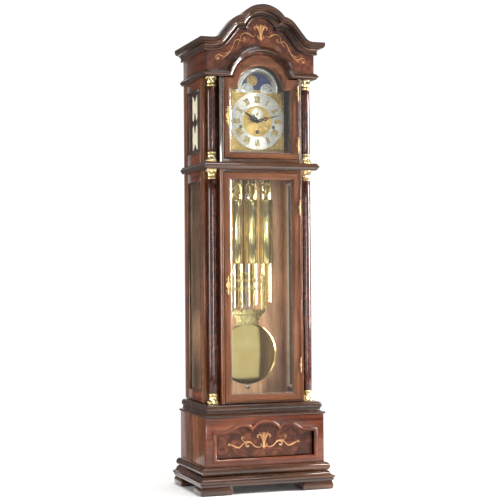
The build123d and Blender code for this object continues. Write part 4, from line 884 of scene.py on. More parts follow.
def acanthus(low, is_upright):
    """A capital of six curling leaves round a waisted bell, on a plain collar."""
    profile = [(0, 0), (20, 0), (22.5, 1), (23.5, 3), (22.8, 5.4), (20.5, 6.6), (20.2, 8), (21.6, 9.2),
               (20.6, 10.6), (18.6, 12), (18.0, 15), (18.2, 18), (18.8, 21), (19.8, 24), (21.2, 27),
               (23.0, 30), (25.2, 33), (27.2, 35.6), (27.4, 37.6), (25.8, 38.8), (23.8, 38.0), (23.4, 39.4),
               (25.2, 40.6), (26.2, 42.4), (25.4, 44), (0, 44)]

    def leaves(angle, index):
        radius, level = profile[index]
        if not 9.5 < level < 39 or radius == 0:
            return 1.0
        reach = min(1.0, (level - 9.5) / 22)
        leaf = abs(cos(3 * angle)) ** 0.7
        vein = 0.035 * cos(32 * angle) * reach
        return 1.0 - 0.34 * reach * (1 - leaf) + vein * leaf - 0.02

    rings = [(radius, low + (level if is_upright else CAPITAL_H - level)) for radius, level in profile]
    return post(COLUMN_X, COLUMN_DEPTH, rings, 96, ripple=leaves)


def make_columns():
    shafts, brass = [], []
    for low, high in ((waist.high, middle.low), (middle.high, cornice.low)):
        shafts.append(shaft(low + CAPITAL_H, high - CAPITAL_H))
        brass += [acanthus(low, False), acanthus(high - CAPITAL_H, True)]
    piece("burr_columns", both_sides(*shafts), "burr_column", stands_for="columns")
    piece("acanthus_capitals", both_sides(*brass), "brass", stands_for="column_capitals", sharp=60)


# ---- Hood mouldings ------------------------------------------------------------------------------
def mitred_row(out, z, front):
    """One line of a hood moulding: back along both sides, and (x, z) points across the front."""
    x, depth = CASE_HALF + out, CASE_DEPTH + out
    arch = [at(px, depth, pz) for px, pz in front]
    return [at(-x, 0, z), at(-x, depth, z)] + arch + [at(x, depth, z), at(x, 0, z)]


def make_crown():
    """A fascia over a small bead, a deep cove and an inner bead, mitred into the side returns."""
    proud = CROWN_PROUD
    profile = [(20, -18), (0, -18), (0, proud - 1.2), (1.2, proud), (17, proud), (18, proud - 1.2),
               (18.6, proud - 4)]
    profile += arc((21.5, proud - 6.5), 3, 140, -20, 6) + [(25, proud - 8.5)]
    profile += [(44 - 18.5 * cos(radians(a)), 31 - 20 * sin(radians(a))) for a in range(8, 91, 10)]
    profile += [(44.4, 10.2)] + arc((49.6, 8.6), 4.9, 165, -5, 8)
    profile += [(CROWN_HEIGHT, 3), (CROWN_HEIGHT, 0), (20, 0)]
    rows = [mitred_row(out, CROWN_TOP - inset, crown_line(inset)) for inset, out in profile]
    piece("crown", loft(rows, close_rows=True, cap_points=True), "dark_x", stands_for="crown_moulding",
          sharp=30)


def make_cornice():
    """The pointed moulding round the hood that rises in an arch over the door."""
    inner_r, outer_r = CORNICE_ARCH_R
    rows = []
    for out, z in nosing(cornice.low, cornice.low + CORNICE_H):
        r = inner_r + (z - cornice.low) / CORNICE_H * (outer_r - inner_r)
        rows.append(mitred_row(out, z, mirror_line(cornice_arch(r, z, 28))))
    piece("arched_cornice", loft(rows, close_rows=True, cap_points=True), "dark_x", stands_for="hood_cornice")


# ---- Inlays --------------------------------------------------------------------------------------
def palmette(low, high, depth):
    """A lily: a bulb with a pointed foot, a slim waist, an upright petal and two pairs that curl out."""
    widths = (0.1, 1.0, 1.35, 0.9, 0.55, 0.5, 0.6, 0.75, 0.1)

    def up(share):
        return low + share * (high - low)

    def stem_width(t):
        place = t * (len(widths) - 1)
        i = min(int(place), len(widths) - 2)
        return widths[i] + (widths[i + 1] - widths[i]) * (place - i)

    petals = (
        (5.0, swelling, [(4, 0.3), (6, 0.52), (13, 0.76), (22, 0.86), (29, 0.8), (28, 0.7), (24, 0.68)]),
        (3.0, swelling, [(4, 0.5), (9, 0.72), (15, 0.92), (22, 1.0)]),
        (2.4, swelling, [(3, 0.6), (6, 0.8), (9, 1.0)]),
        (3.6, swelling, [(3, 0.1), (9, 0.16), (14, 0.26), (12, 0.34)]),
    )
    strands = [(width, taper, [(x, up(share)) for x, share in points]) for width, taper, points in petals]
    stem = (9, stem_width, [(0, up(share)) for share in (0, 0.25, 0.5, 0.75, 1.02)])
    return [both_sides(*strokes(strands, depth, 0.6, steps=5))] + strokes([stem], depth, 0.6)


def ball(x, z, r, depth, steps=12):
    """A round drop."""
    return knob(x, z, depth, [(0, 0), (r, 0), (0.8 * r, 0.5), (0, 0.6)], steps)


FRIEZE_STRANDS = (
    (2.132, swelling, [(24, 1988), (40, 1982), (54, 1990), (70, 1995)]),
    (3.444, tail, [(42, 1986), (60, 1996), (78, 1994), (91, 1985), (94, 1972)], ((80, 1972), 14, 3, 0, -350)),
    (3.772, tail, [(94, 1958), (102, 1966), (114, 1962), (124, 1950), (130, 1932), (142, 1914), (158, 1903)]),
    (2.46, swelling, [(98, 1960), (103, 1952), (106, 1944)]),
    (2.46, tail, [(158, 1903), (168, 1900), (176, 1906)]),
    (3.608, tail, [(142, 1912), (156, 1896), (170, 1889), (184, 1893), (198, 1896), (208, 1887)],
     ((198, 1882), 11, 3, 20, -310)),
    (2.132, swelling, [(166, 1890), (172, 1882), (178, 1880)]),
)
FRIEZE_DROPS = ((78, 1970, 3.4), (199, 1880, 4.2), (160, 1905, 2.2))
BASE_STRANDS = (
    (4.0, swelling, [(8, 196), (26, 192), (44, 198), (58, 212), (74, 219)]),
    (7.0, tail, [(56, 211), (70, 217), (84, 210)], ((74, 203), 11, 3, 30, -200)),
    (4.0, swelling, [(70, 219), (84, 218), (98, 208), (112, 196)]),
    (7.0, swelling, [(100, 204), (114, 195), (130, 198), (146, 208)]),
    (3.6, tail, [(138, 200), (150, 207), (160, 214)], ((159, 208), 6, 2, 80, -180)),
    (2.4, tail, [(84, 214), (95, 222), (104, 232)], ((98, 235), 6.5, 2, -20, 250)),
)
BASE_DROPS = ((75, 200, 4.0), (160, 207, 3.0), (99, 235, 2.4))


def marquetry(strands, drops, low, high, depth):
    """Scrolls with round drops, the same on both sides of a palmette."""
    scrolls = strokes(strands, depth, 0.6) + [ball(x, z, r, depth) for x, z, r in drops]
    return join(both_sides(*scrolls), *palmette(low, high, depth))


def make_inlays():
    face, panel = CASE_DEPTH - 0.1, BASE_DEPTH - FRONT_BOARD - 0.1
    frieze = marquetry(FRIEZE_STRANDS, FRIEZE_DROPS, 1964, 2036, face)
    piece("frieze_inlay", frieze, "inlay", stands_for="inlays")
    piece("base_inlay", marquetry(BASE_STRANDS, BASE_DROPS, 184, 257, panel), "inlay")
    closed = scallop_line(SCALLOP_WIDTH + 4.5)
    piece("base_stringing", ribbon(closed + closed[:1], 1.8, panel, 0.3, even), "door_x")
    end, low = CASE_HALF - 12, cornice.low + CORNICE_H + 9
    right = [(end, crown.low - 4), (end, low)] + cornice_arch(CORNICE_ARCH_R[1] + 10, low, 20)
    piece("frieze_lower_stringing", ribbon(mirror_line(right), 3.6, face, 0.3, even), "dark_x")
    piece("frieze_upper_stringing", ribbon(crown_line(CROWN_HEIGHT + 4), 3.6, face, 0.3, even), "dark_x")


# ---- Doors ---------------------------------------------------------------------------------------
DOOR_OUTER = ((0, -FRONT_BOARD), (0, -2.6), (0.5, -1.2), (1.8, -0.2), (3.4, -0.2), (4.8, -1.2), (5.6, -2.0),
              (6.6, -1.0), (7.4, -0.4))
DOOR_INNER = ((-9.5, -0.4), (-8.2, -1.2), (-7.4, -2.4), (-6.2, -2.0), (-4.0, -3.2), (-2.0, -6.0),
              (-0.8, -9.0), (0, -10.5), (0, -FRONT_BOARD))


def make_doors():
    """Mitred door frames, an outer bead, a flat and an ogee down to the glass, and the glasses' bevels."""
    for name, outer, inner in (("trunk_door", door_line(trunk_door), door_line(trunk_glass)),
                               ("hood_door", hood_outer_line, hood_inner_line)):
        rows = front_rows(DOOR_OUTER, outer, CASE_DEPTH) + front_rows(DOOR_INNER, inner, CASE_DEPTH)
        frame_mesh = loft(rows, close_rows=True, close_points=True)
        across_grain(piece(name, frame_mesh, "door_z", name, name + "_frame", sharp=30))
    for name, box, high in (("trunk_door", trunk_glass, trunk_glass.high),
                            ("hood_door", hood_glass, GLASS_SPRING)):
        piece(name + "_glass_bevel", glass_bevel(box, high), "bevel", name)


def across_grain(made):
    """The rails of a frame, whose faces lie between the stiles, take the grain that runs across."""
    made.data.materials.append(looks["door_x"][1])
    for polygon in made.data.polygons:
        xs = [made.data.vertices[i].co.x for i in polygon.vertices]
        if max(xs) - min(xs) > 0.1 or (abs(polygon.center.x) < 0.1 and polygon.center.z > 1.5):
            polygon.material_index = 1


def glass_bevel(box, high):
    """The ground bevel round a door glass, down both sides and along the foot."""
    def line(inset):
        half, low = box.right - inset, box.low + inset
        return [(-half, high), (-half, low), (half, low), (half, high)]

    rows = front_rows([(0, 0.0), (0, -0.4), (4.5, 0.4), (4.5, 1.1)], line, box.front)
    return loft(rows, close_rows=True, cap_points=True)


def make_brassware():
    """Hinge knuckles, and waisted escutcheons with a knob."""
    for name, door, top in (("trunk_door", trunk_door, trunk_door.high),
                            ("hood_door", hood_door, HOOD_SHOULDER)):
        reach = 0.14 * (top - door.low) + 12
        edge, face = door.right, CASE_DEPTH
        parts = escutcheon(-edge + 17, (door.low + top) / 2 + 8)
        for z in (door.low + reach, top - reach):
            parts += [knuckle(edge + 0.75, z),
                      slab(edge - 4, edge - 0.5, face, face + 1.2, z - 8, z + 8, 0.4),
                      slab(edge - 2.5, edge + 0.5, face, face + 5.5, z - 8, z + 8, 0.4)]
        piece(name + "_escutcheon_and_hinges", join(*parts), "gilt_smooth", name, name + "_brassware")


def knuckle(x, z):
    upper = [(3.5, 3.2), (3.1, 3.6), (3.5, 4), (3.5, 7.4), (3.2, 8), (2.2, 8)]
    rings = [(r, z - up) for r, up in reversed(upper)] + [(r, z + up) for r, up in upper]
    return post(x, CASE_DEPTH + 5.5, rings, 20, closed=True)


def escutcheon(x, z):
    """A waisted plate with scrolled ends, a boss and a turned knob."""
    depth = CASE_DEPTH - 0.2
    upper = [(0, 42), (3.2, 38), (1.8, 33), (3.4, 27), (2.4, 20), (3.0, 15), (7.0, 10), (9.5, 3)]
    line = smooth_path(upper + [(px, -pz) for px, pz in reversed(upper)], 3)
    parts = [prism([moved(waisted(line), (x, z))], depth, depth + 1.8, 0.5)]
    for side in (-1, 1):
        for end in (-1, 1):
            curl = spiral((x + side * 5.4, z + end * 24), 5.0, 1.2, 90 * end, 90 * end - side * end * 330)
            parts.append(ribbon(curl, 2.4, depth, 2.2, tail))
    grip = [(0, 1.5), (5.6, 1.5), (5.8, 2.6), (3.4, 3.4), (2.8, 6), (4, 8), (6.6, 9.6), (7, 11.6),
            (5.8, 13.4), (3, 14), (0, 14)]
    return parts + [knob(x, z, depth, grip, 28)]


# ---- Hood side frets -----------------------------------------------------------------------------
def fret_slot(middle_depth, base_z, tip_z):
    """A tall slot with straight sides and a pointed cleft at both ends."""
    way = 1 if tip_z > base_z else -1
    foot_points = [(0, 36), (5, 22), (9, 8), (18, 0), (32, 4), (42, 12)]
    head_points = [(42, -6), (38, 0), (24, -2), (14, -10), (8, -14), (0, -26)]
    right = smooth_path([(x, base_z + up * way) for x, up in foot_points], 4) + [(42, tip_z - 8 * way)]
    right += smooth_path([(x, tip_z + up * way) for x, up in head_points], 4)
    return [(middle_depth + x, z) for x, z in waisted(right)]


def make_frets():
    (near, far), (low, high) = SIDE_OPENING, HOOD_OPENING
    centre, mid = (near + far) / 2, (low + high) / 2
    outer = [(near, low), (far, low), (far, high), (near, high)]
    slots = [fret_slot(centre, mid + 8, high - 20), fret_slot(centre, mid - 8, low + 20)]
    flat = prism([outer] + slots, 3.5, 6, 0.5)
    across = (CASE_HALF - 12) * MM + WALL_Y
    turn = Matrix(((0, -1, 0, across), (-1, 0, 0, WALL_Y), (0, 0, 1, 0), (0, 0, 0, 1)))
    bmesh.ops.transform(flat, matrix=turn, verts=flat.verts)
    piece("fret_panels", both_sides(flat), "dark_z", stands_for="hood_side_frets")
    for name, side in (("left", -1), ("right", 1)):
        rows = [[at(side * (CASE_HALF - 9.4 + 0.25 * sin(i * 0.9 + k * 0.7)), near + (far - near) * k / 26,
                    low + (high - low) * i / 40) for k in range(27)] for i in range(41)]
        node = "hood_side_cloth" if side < 0 else ""
        cloth = piece("fret_cloth_" + name, loft(rows), "cloth", stands_for=node)


# ---- Dial ----------------------------------------------------------------------------------------
def moon_window_line():
    """A half-round window whose floor has a hump at each end."""
    centre, r = MOON_HUMP
    start, hump_end = crossing((0, 0), MOON_WINDOW_R, (centre, 0), r)
    right = arc((centre, 0), r, 180, hump_end, 14) + arc((0, 0), MOON_WINDOW_R, start, 90, 20)[1:]
    return moved(mirror_line(right), (0, DIAL_SPRING))


def band(inner, outer, thick, rim=1.2):
    """The profile of a flat ring with a raised rounded rim at both edges."""
    crest = thick + 0.5 * rim
    return [(inner, 0), (inner, thick), (inner + 0.3 * rim, crest), (inner + rim, thick),
            (outer - rim, thick), (outer - 0.3 * rim, crest), (outer, thick), (outer, 0)]


def make_dial():
    right = [(DIAL_HALF, dial.low), (DIAL_HALF, DIAL_SPRING)] + arc((0, DIAL_SPRING), DIAL_ARCH_R, 0, 90, 28)
    outlines = [mirror_line(right), moon_window_line(), arc((0, DIAL_Z), 7, 0, 345, 23)]
    outlines += [arc(place, 5.5, 0, 345, 23) for place in WINDING]
    piece("gilt_dial_plate", prism(outlines, DIAL_DEPTH - 2, DIAL_DEPTH, 0.4), "gilt",
          stands_for="dial_plate dial_filigree")
    chapter = knob(0, DIAL_Z, DIAL_DEPTH, band(*CHAPTER_R, 1.2), 128, closed=True)
    piece("silvered_chapter_ring", chapter, "silver", stands_for="chapter_ring", sharp=25)
    seconds = knob(0, SECONDS_Z, DIAL_DEPTH + 0.6, band(5, 27, 0.6, 0.8), 64, closed=True)
    piece("seconds_dial", seconds, "silver", sharp=25)

    dark, gold = numerals(DIAL_DEPTH + 1.2)
    piece("numeral_outlines", dark, "black")
    piece("numeral_fillings", gold, "gilt_smooth")
    minutes = enumerate(arc((0, DIAL_Z), 119.5, 90, -270, 60)[:-1])
    dots = [ball(x, z, 1.2 if i % 5 else 2.3, DIAL_DEPTH + 1.1, 10) for i, (x, z) in minutes]
    piece("minute_dots", join(*dots), "black")
    piece("centre_filigree", centre_scrolls(), "gilt_smooth")
    piece("corner_spandrels", spandrels(), "gilt_smooth")
    collet = [(3.4, -1), (3.4, 1.6), (4, 2), (7.4, 1.8), (8, 0.6), (8, 0)]
    collets = [knob(x, z, DIAL_DEPTH, collet, 28, closed=True) for x, z in WINDING]
    piece("winding_collets", join(*collets), "black")
    angles = [90 - 6 * i for i in range(60)]
    marks = ticks(angles, SECONDS_Z, 25.4, (5.0, 0.7), (2.4, 0.4), DIAL_DEPTH + 1.1, 0.25)
    piece("seconds_ticks", marks, "black")


# Each letter's strokes as (start, end, weight), and the width it takes up.
STROKES = {
    "I": (((0, 0), (0, 1), 1.0),),
    "V": (((-0.42, 1), (0, 0), 1.0), ((0.42, 1), (0, 0), 0.42)),
    "X": (((-0.42, 1), (0.42, 0), 1.0), ((0.42, 1), (-0.42, 0), 0.42)),
}
ADVANCE = {"I": 0.42, "V": 1.06, "X": 1.06}
HOURS = ("XII", "I", "II", "III", "IIII", "V", "VI", "VII", "VIII", "IX", "X", "XI")


def radial(angle, centre_z, base_r=0.0):
    """Places points drawn across and out along a radius, at an angle in degrees from the right."""
    out = Vector((cos(radians(angle)), sin(radians(angle))))
    side = Vector((out.y, -out.x))

    def place(x, r, depth):
        point = out * (base_r + r) + side * x
        return at(point.x, depth, centre_z + point.y)

    return place


def bar(bm, place, start, end, width, grow, depth, rise):
    """A straight stroke, as a thin box."""
    along = Vector((end[0] - start[0], end[1] - start[1])).normalized()
    across = Vector((-along.y, along.x)) * (width / 2 + grow)
    a, b = Vector(start) - along * grow, Vector(end) + along * grow
    corners = [a - across, b - across, b + across, a + across]
    low, high = ([bm.verts.new(place(c.x, c.y, level)) for c in corners] for level in (depth, depth + rise))
    bm.faces.new(high)
    bm.faces.new(low[::-1])
    for i in range(4):
        j = (i + 1) % 4
        bm.faces.new((low[i], low[j], high[j], high[i]))


def ticks(angles, centre_z, outer_r, long_tick, short_tick, depth, rise):
    """Radial marks of (length, width), every fifth one long."""
    bm = bmesh.new()
    for i, angle in enumerate(angles):
        length, width = short_tick if i % 5 else long_tick
        bar(bm, radial(angle, centre_z), (0, outer_r - length), (0, outer_r), width, 0, depth, rise)
    return bm


def numerals(depth):
    """Roman hours with serifs: a dark edge under a gold filling."""
    height, unit, thick = 28.0, 14.0, 4.4
    base_r = sum(CHAPTER_R) / 2 - 1 - height / 2
    dark, gold = bmesh.new(), bmesh.new()
    for hour, text in enumerate(HOURS):
        place = radial(90 - 30 * hour, DIAL_Z, base_r)
        half = sum(ADVANCE[letter] for letter in text) * unit / 2
        x = -half
        for letter in text:
            centre = x + ADVANCE[letter] * unit / 2
            for start, end, weight in STROKES[letter]:
                a, b = ((centre + u * unit, v * height) for u, v in (start, end))
                bar(dark, place, a, b, thick * weight, 1.0, depth, 0.35)
                bar(gold, place, a, b, thick * weight, 0.0, depth, 0.6)
            x += ADVANCE[letter] * unit
        for r in (0.0, height):
            a, b = (0.5 - half, r), (half - 0.5, r)
            bar(dark, place, a, b, 1.1, 0.5, depth, 0.3)
            bar(gold, place, a, b, 0.9, 0.0, depth, 0.55)
    return dark, gold


def centre_scrolls():
    """Pairs of leaf scrolls round the dial's centre, inside a raised rim."""
    parts = []
    for side in (-1, 1):
        start = 90 - 90 * side
        path = smooth_path([(6, 16), (side * 5, 26), (side * 13, 36), (side * 17, 48)])
        path += spiral((side * 11, 50), 6.5, 1.6, start, start + 330 * side)
        parts += [ribbon(moved(path, (0, DIAL_Z), 36 * i), 2.6, DIAL_DEPTH, 1.0, swelling) for i in range(10)]
    edge = CHAPTER_R[0]
    rim = [(edge - 3.5, 0), (edge - 3, 1.4), (edge - 1, 1.8), (edge, 1.2), (edge, 0)]
    return join(*parts, knob(0, DIAL_Z, DIAL_DEPTH, rim, 96, closed=True))


def spandrels():
    """A cast leaf scroll in each corner of the dial, and a raised line down its sides and along its foot."""
    leaves = [
        (5.0, tail, [(3, 3), (18, 10), (34, 9), (52, 6), (66, 4)]),
        (4.2, tail, [(8, 8), (20, 22), (32, 20), (36, 12), (28, 9), (24, 14)]),
        (3.2, swelling, [(44, 8), (52, 14), (60, 10), (56, 5)]),
    ]
    leaves += [(width, taper, [(v, u) for u, v in points]) for width, taper, points in leaves]
    leaves.append((3.6, swelling, [(4, 4), (12, 12), (22, 26)]))
    parts = []
    for side in (-1, 1):
        for corner_z, way in ((dial.low + 6, 1), (DIAL_SPRING - 6, -1)):
            placed = [(width, taper, [(side * (DIAL_HALF - 6 - u), corner_z + way * v) for u, v in points])
                      for width, taper, points in leaves]
            parts += strokes(placed, DIAL_DEPTH, 1.3)
    half, low, high = 0.985 * DIAL_HALF, dial.low + 1.8, DIAL_SPRING - 1.8
    corners = [(-half, high), (-half, low), (half, low), (half, high)]
    parts += [ribbon([a, b], 1.8, DIAL_DEPTH, 1.2, even) for a, b in zip(corners, corners[1:])]
    return join(*parts)


def make_moon():
    """The silvered arch with its age ticks, the globes, and the painted disc with its moons."""
    depth, floor = DIAL_DEPTH, -11.0
    outer = arc((0, 0), 97, degrees(atan2(floor, 96)), 90, 30)
    inner = arc((0, 0), MOON_WINDOW_R, degrees(atan2(floor, 68)), 90, 30)

    def arch_line(share):
        line = [(a[0] + (b[0] - a[0]) * share, a[1] + (b[1] - a[1]) * share) for a, b in zip(inner, outer)]
        return moved(mirror_line(line), (0, DIAL_SPRING))

    profile = [(0, 0), (0, 1.3), (0.04, 1.9), (0.1, 1.4), (0.9, 1.4), (0.96, 1.9), (1, 1.3), (1, 0)]
    arch = loft(front_rows(profile, arch_line, depth), close_rows=True, cap_points=True)
    piece("moon_age_arch", arch, "silver", stands_for="moon_arch", sharp=25)

    centre, r = MOON_HUMP
    profile = ((0, 3.2), (0.3, 3), (0.56, 2.5), (0.78, 1.8), (0.93, 0.9), (0.98, 1.4), (1, 0.8), (1, 0),
               (0, 0))
    globes, lines = [], []
    for side in (-1, 1):
        globe = knob(side * centre, DIAL_SPRING, depth, [(share * r, up) for share, up in profile])
        bmesh.ops.bisect_plane(globe, geom=globe.verts[:] + globe.edges[:] + globe.faces[:],
                               plane_co=at(0, depth, DIAL_SPRING - 14), plane_no=(0, 0, -1), clear_outer=True)
        bmesh.ops.holes_fill(globe, edges=globe.edges[:])
        globes.append(globe)
        for level in (-0.3, 0.15, 0.6):
            turns = [radians(-60 + 12 * i) for i in range(11)]
            line = [(side * centre + 22 * sin(a), DIAL_SPRING + 8 + 20 * level - 4 * cos(a)) for a in turns]
            lines.append(ribbon(line, 0.7, depth + 2.4, 0.7, even))
    piece("moon_globes", join(*globes), "silver_smooth")
    angles = [4 + 172 * i / 29 for i in range(30)]
    marks = ticks(angles, DIAL_SPRING, 93, (9.0, 1.7), (4.0, 0.9), depth + 1.3, 0.4)
    piece("moon_age_ticks", marks, "black")
    piece("globe_lines", join(*lines), "black")

    front = disc.front - 0.5
    plate = knob(0, DIAL_SPRING, front, [(3.2, -1.5), (76, -1.5), (76, 0), (3.2, 0)], 96, closed=True)
    piece("moon_sky", plate, "sky", "moon_disc", "moon_disc")
    places = [(MOON_AT[0], -MOON_AT[1]), (-MOON_AT[0], MOON_AT[1])]
    face = [(25, -0.1), (24.4, 0.2), (20, 0.4), (0, 0.5)]
    moons = [knob(x, DIAL_SPRING + z, front, face) for x, z in places]
    stars = []
    for side in (-1, 1):
        for i in range(26):
            angle, radius = radians(137.5 * i), 12 + 60 * sqrt((i * 7 % 26 + 0.5) / 26)
            x, z = radius * cos(angle), side * radius * sin(angle)
            if min(hypot(x - moon_x, z - moon_z) for moon_x, moon_z in places) > 27:
                size = 0.7 + 0.25 * (i % 3)
                star = [(size, -0.1), (size, 0.15), (0, 0.2)]
                stars.append(knob(x, DIAL_SPRING + z, front, star, 6))
    piece("gilt_moons", join(*moons), "gilt", "moon_disc")
    piece("stars", join(*stars), "gilt_smooth", "moon_disc")


# ---- Hands ---------------------------------------------------------------------------------------
def serpentine(length, sway, thick, depth, turn):
    """A pierced hand of two crossing wavy strands that meet at the tip, on a hub."""
    lines = []
    for side in (-1, 1):
        wave = [(side * sway * sin(4 * pi * t) * (1 - t) ** 0.8, 7 + (length * 0.72 - 7) * t)
                for t in (i / 36 for i in range(37))]
        curl = spiral((side * sway * 0.9, 0.33 * length), sway * 0.62, 1.0, 90, 90 - side * 320)
        lines += [(wave, thick, 1.2, tail), (curl, 0.6 * thick, 1.1, tail)]
    tip = [(0, length * t) for t in (0.6, 0.68, 0.78, 0.9, 1.0)]
    lines.append((tip, thick, 1.2, lambda t: 1.0 - 0.85 * t))
    hub = [(5, -0.4), (9, -0.4), (9, 0.9), (7, 1.4), (5, 1.2)]
    parts = [knob(0, DIAL_Z, depth, hub, 40, closed=True)]
    for line, width, rise, taper in lines:
        parts.append(ribbon(moved(line, (0, DIAL_Z), -turn), width, depth, rise, taper))
    return parts


def make_hands():
    """The two pierced hands with their arbors, and the plain seconds needle."""
    minute, hour = span("minute_hand"), span("hour_hand")
    back = minute.back - minute.front
    arbor = [(0, 0), (3, 0), (4.6, -0.6), (5, -2), (5, -3), (3.5, -3), (3.5, back), (0, back)]
    parts = serpentine(112, 6.6, 6.0, DIAL_DEPTH + 10, 74.7) + [knob(0, DIAL_Z, minute.front, arbor, 32)]
    piece("serpentine_minute_hand", join(*parts), "black", "minute_hand", "minute_hand")
    end = DIAL_DEPTH + 8 - hour.back
    pipe = [(3.6, 0), (26, 0), (26, 2), (5, 2), (5, end), (3.6, end)]
    parts = serpentine(80, 10.0, 7.6, DIAL_DEPTH + 6, 304) + [knob(0, DIAL_Z, hour.back, pipe, closed=True)]
    piece("serpentine_hour_hand", join(*parts), "black", "hour_hand", "hour_hand")
    depth = DIAL_DEPTH + 2.3
    needle = moved([(0, t) for t in (-9, -4, 0, 8, 16, 22)], (0, SECONDS_Z), -25)
    parts = [ribbon(needle, 2.0, depth, 0.45, lambda t: 1.0 - 0.7 * t),
             knob(0, SECONDS_Z, depth, [(0, 0), (2.6, 0), (2.2, 0.5), (0, 0.5)], 20)]
    piece("seconds_needle", join(*parts), "black", "escape_wheel", "second_hand")


# ---- Pendulum ------------------------------------------------------------------------------------
def make_pendulum():
    """A domed bob with a rounded rim, and the scrolled lyre above it."""
    edge, rim, bulge = BOB_R - 2, 5.0, (bob.front - bob.back) / 2
    sphere_r = (edge ** 2 + (bulge - rim) ** 2) / (2 * (bulge - rim))
    radii = [edge * i / 14 for i in range(15)]
    half_lens = [(r, bulge - sphere_r + sqrt(sphere_r ** 2 - r ** 2)) for r in radii]
    half_lens += [(edge + 0.4, rim - 0.4), (BOB_R - 0.4, rim - 1), (BOB_R, rim - 2.4)]
    lens = half_lens + [(r, -rise) for r, rise in reversed(half_lens)]
    piece("polished_bob", knob(0, BOB_Z, PENDULUM_DEPTH, lens, 128), "bob_brass", "pendulum", "pendulum_bob",
          sharp=45)

    half, front = lyre.right, lyre.front
    back = front - 3.0
    post_line = smooth_path([(half - 4, 772), (half - 1, 778), (half, 800), (half, 870), (half, 920),
                             (half - 2, 934), (half - 10, 944), (half - 22, 938)], 5)
    post_line += [(half - 22, 934), (half - 22, 782), (half - 18, 774)]
    inner_line = [(26, 772), (34, 772), (34, 938), (26, 938)]
    right = [prism([line], back, front, 0.7) for line in (post_line, inner_line)]
    for z in (878, 915):
        rail = [(0, z), (22, z + 2.5), (48, z - 1), (70, z + 1), (half - 2, z)]
        right += strokes([(13, lambda t: 0.7 + 0.3 * abs(cos(3 * pi * t)), rail)], back + 2.0, 2.0)
        right += [ribbon(spiral((x, z + 9), r, 1.6, -90, 240), 2.6, back + 2.0, 1.6, tail)
                  for x, r in ((18, 7), (44, 7), (62, 6))]
    crest = [(0, 946), (16, 952), (30, 944), (48, 940), (66, 946), (half - 3, 938)]
    scroll = [(half - 8, 774), (70, 764), (60, 752), (56, 742), (66, 736)]
    right += strokes([(9, tail, crest)], back + 1.0, 2.4) + strokes([(8, tail, scroll)], back + 1.0, 2.2)
    neck = [(-half + 2, 784), (-half + 2, 774), (-70, 762), (-58, 750), (-52, 736), (-56, 716)]
    neck += [(-x, z) for x, z in reversed(neck)]
    reach = back + 1 - PENDULUM_DEPTH
    pins = [knob(0, z, PENDULUM_DEPTH, [(0, 0), (5, 0), (5, reach), (0, reach)], 20) for z in (750, 878, 915)]
    whole = join(both_sides(*right), prism([neck], back, front, 0.8), *pins)
    piece("scrolled_lyre", whole, "brass_pale", "pendulum", "pendulum_lyre")


# ---- Weights -------------------------------------------------------------------------------------
def weight_profile(foot_z):
    """A brass tube with a rolled rim at both ends, a domed foot and a small crown."""
    r, low, high = 31.0, foot_z + 2, 1279.0
    upward = [(5, -2), (7, 0), (18, 0.4), (25, 1.6), (29, 1.2), (r, 3), (r, 5.6), (r - 0.8, 6.4),
              (r - 0.8, 7.4), (r - 0.2, 8)]
    downward = [(r - 0.2, 14), (r - 0.8, 13.2), (r - 0.8, 12.2), (r, 11.4), (r, 7), (r - 1, 3.6),
                (r - 5, 0.6), (r - 12, 0), (11, -1), (8, -3), (6.5, -7), (5, -9), (0, -10)]
    return ([(0, foot_z)] + [(out, low + up) for out, up in upward]
            + [(out, high - down) for out, down in downward])


def stirrup(x, depth, pulley_z):
    """Two waisted cheeks on a block, with the pin of the pulley."""
    right = smooth_path([(0, 1288), (9, 1291), (6, 1299), (11, 1306), (6, 1313), (8, 1322), (9, 1331),
                         (5, 1337), (0, 1340)], 4)
    line = moved(waisted(right), (x, 0))
    cheeks = [prism([line], back, back + 2.5, 0.5) for back in (depth + 6.5, depth - 9)]
    pin = [(0, -10), (3, -10), (3, 8.8), (4.5, 9), (4, 10), (0, 10)]
    return join(*cheeks, slab(x - 8, x + 8, depth - 8, depth + 8, 1288, 1299, 1.5),
                knob(x, pulley_z, depth, pin, 24))


def filigree_wheel(x, depth, z):
    """A pulley with a grooved rim, a hub and six scrolled spokes."""
    rim = [(18, -4), (24, -5), (25, -4.4), (21.2, -0.8), (21.0, 0), (21.2, 0.8), (25, 4.4), (24, 5), (18, 4)]
    hub = [(3.1, -5), (6.5, -5), (7.5, -3), (7.5, 3), (6.5, 5), (3.1, 5)]
    parts = [knob(x, z, depth, rim, 64, closed=True), knob(x, z, depth, hub, 32, closed=True)]
    spoke = smooth_path([(6, 0), (10, 2.5), (14, 2), (18.6, -0.5)], 4)
    curl = spiral((12.5, -2.6), 3.4, 1.0, 90, 380)
    for i in range(6):
        for path, width in ((spoke, 3.2), (curl, 1.8)):
            for way in (-1, 1):
                parts.append(ribbon(moved(path, (x, z), 60 * i), width, depth + 0.2 * way, 3.4 * way, even))
    return join(*parts)


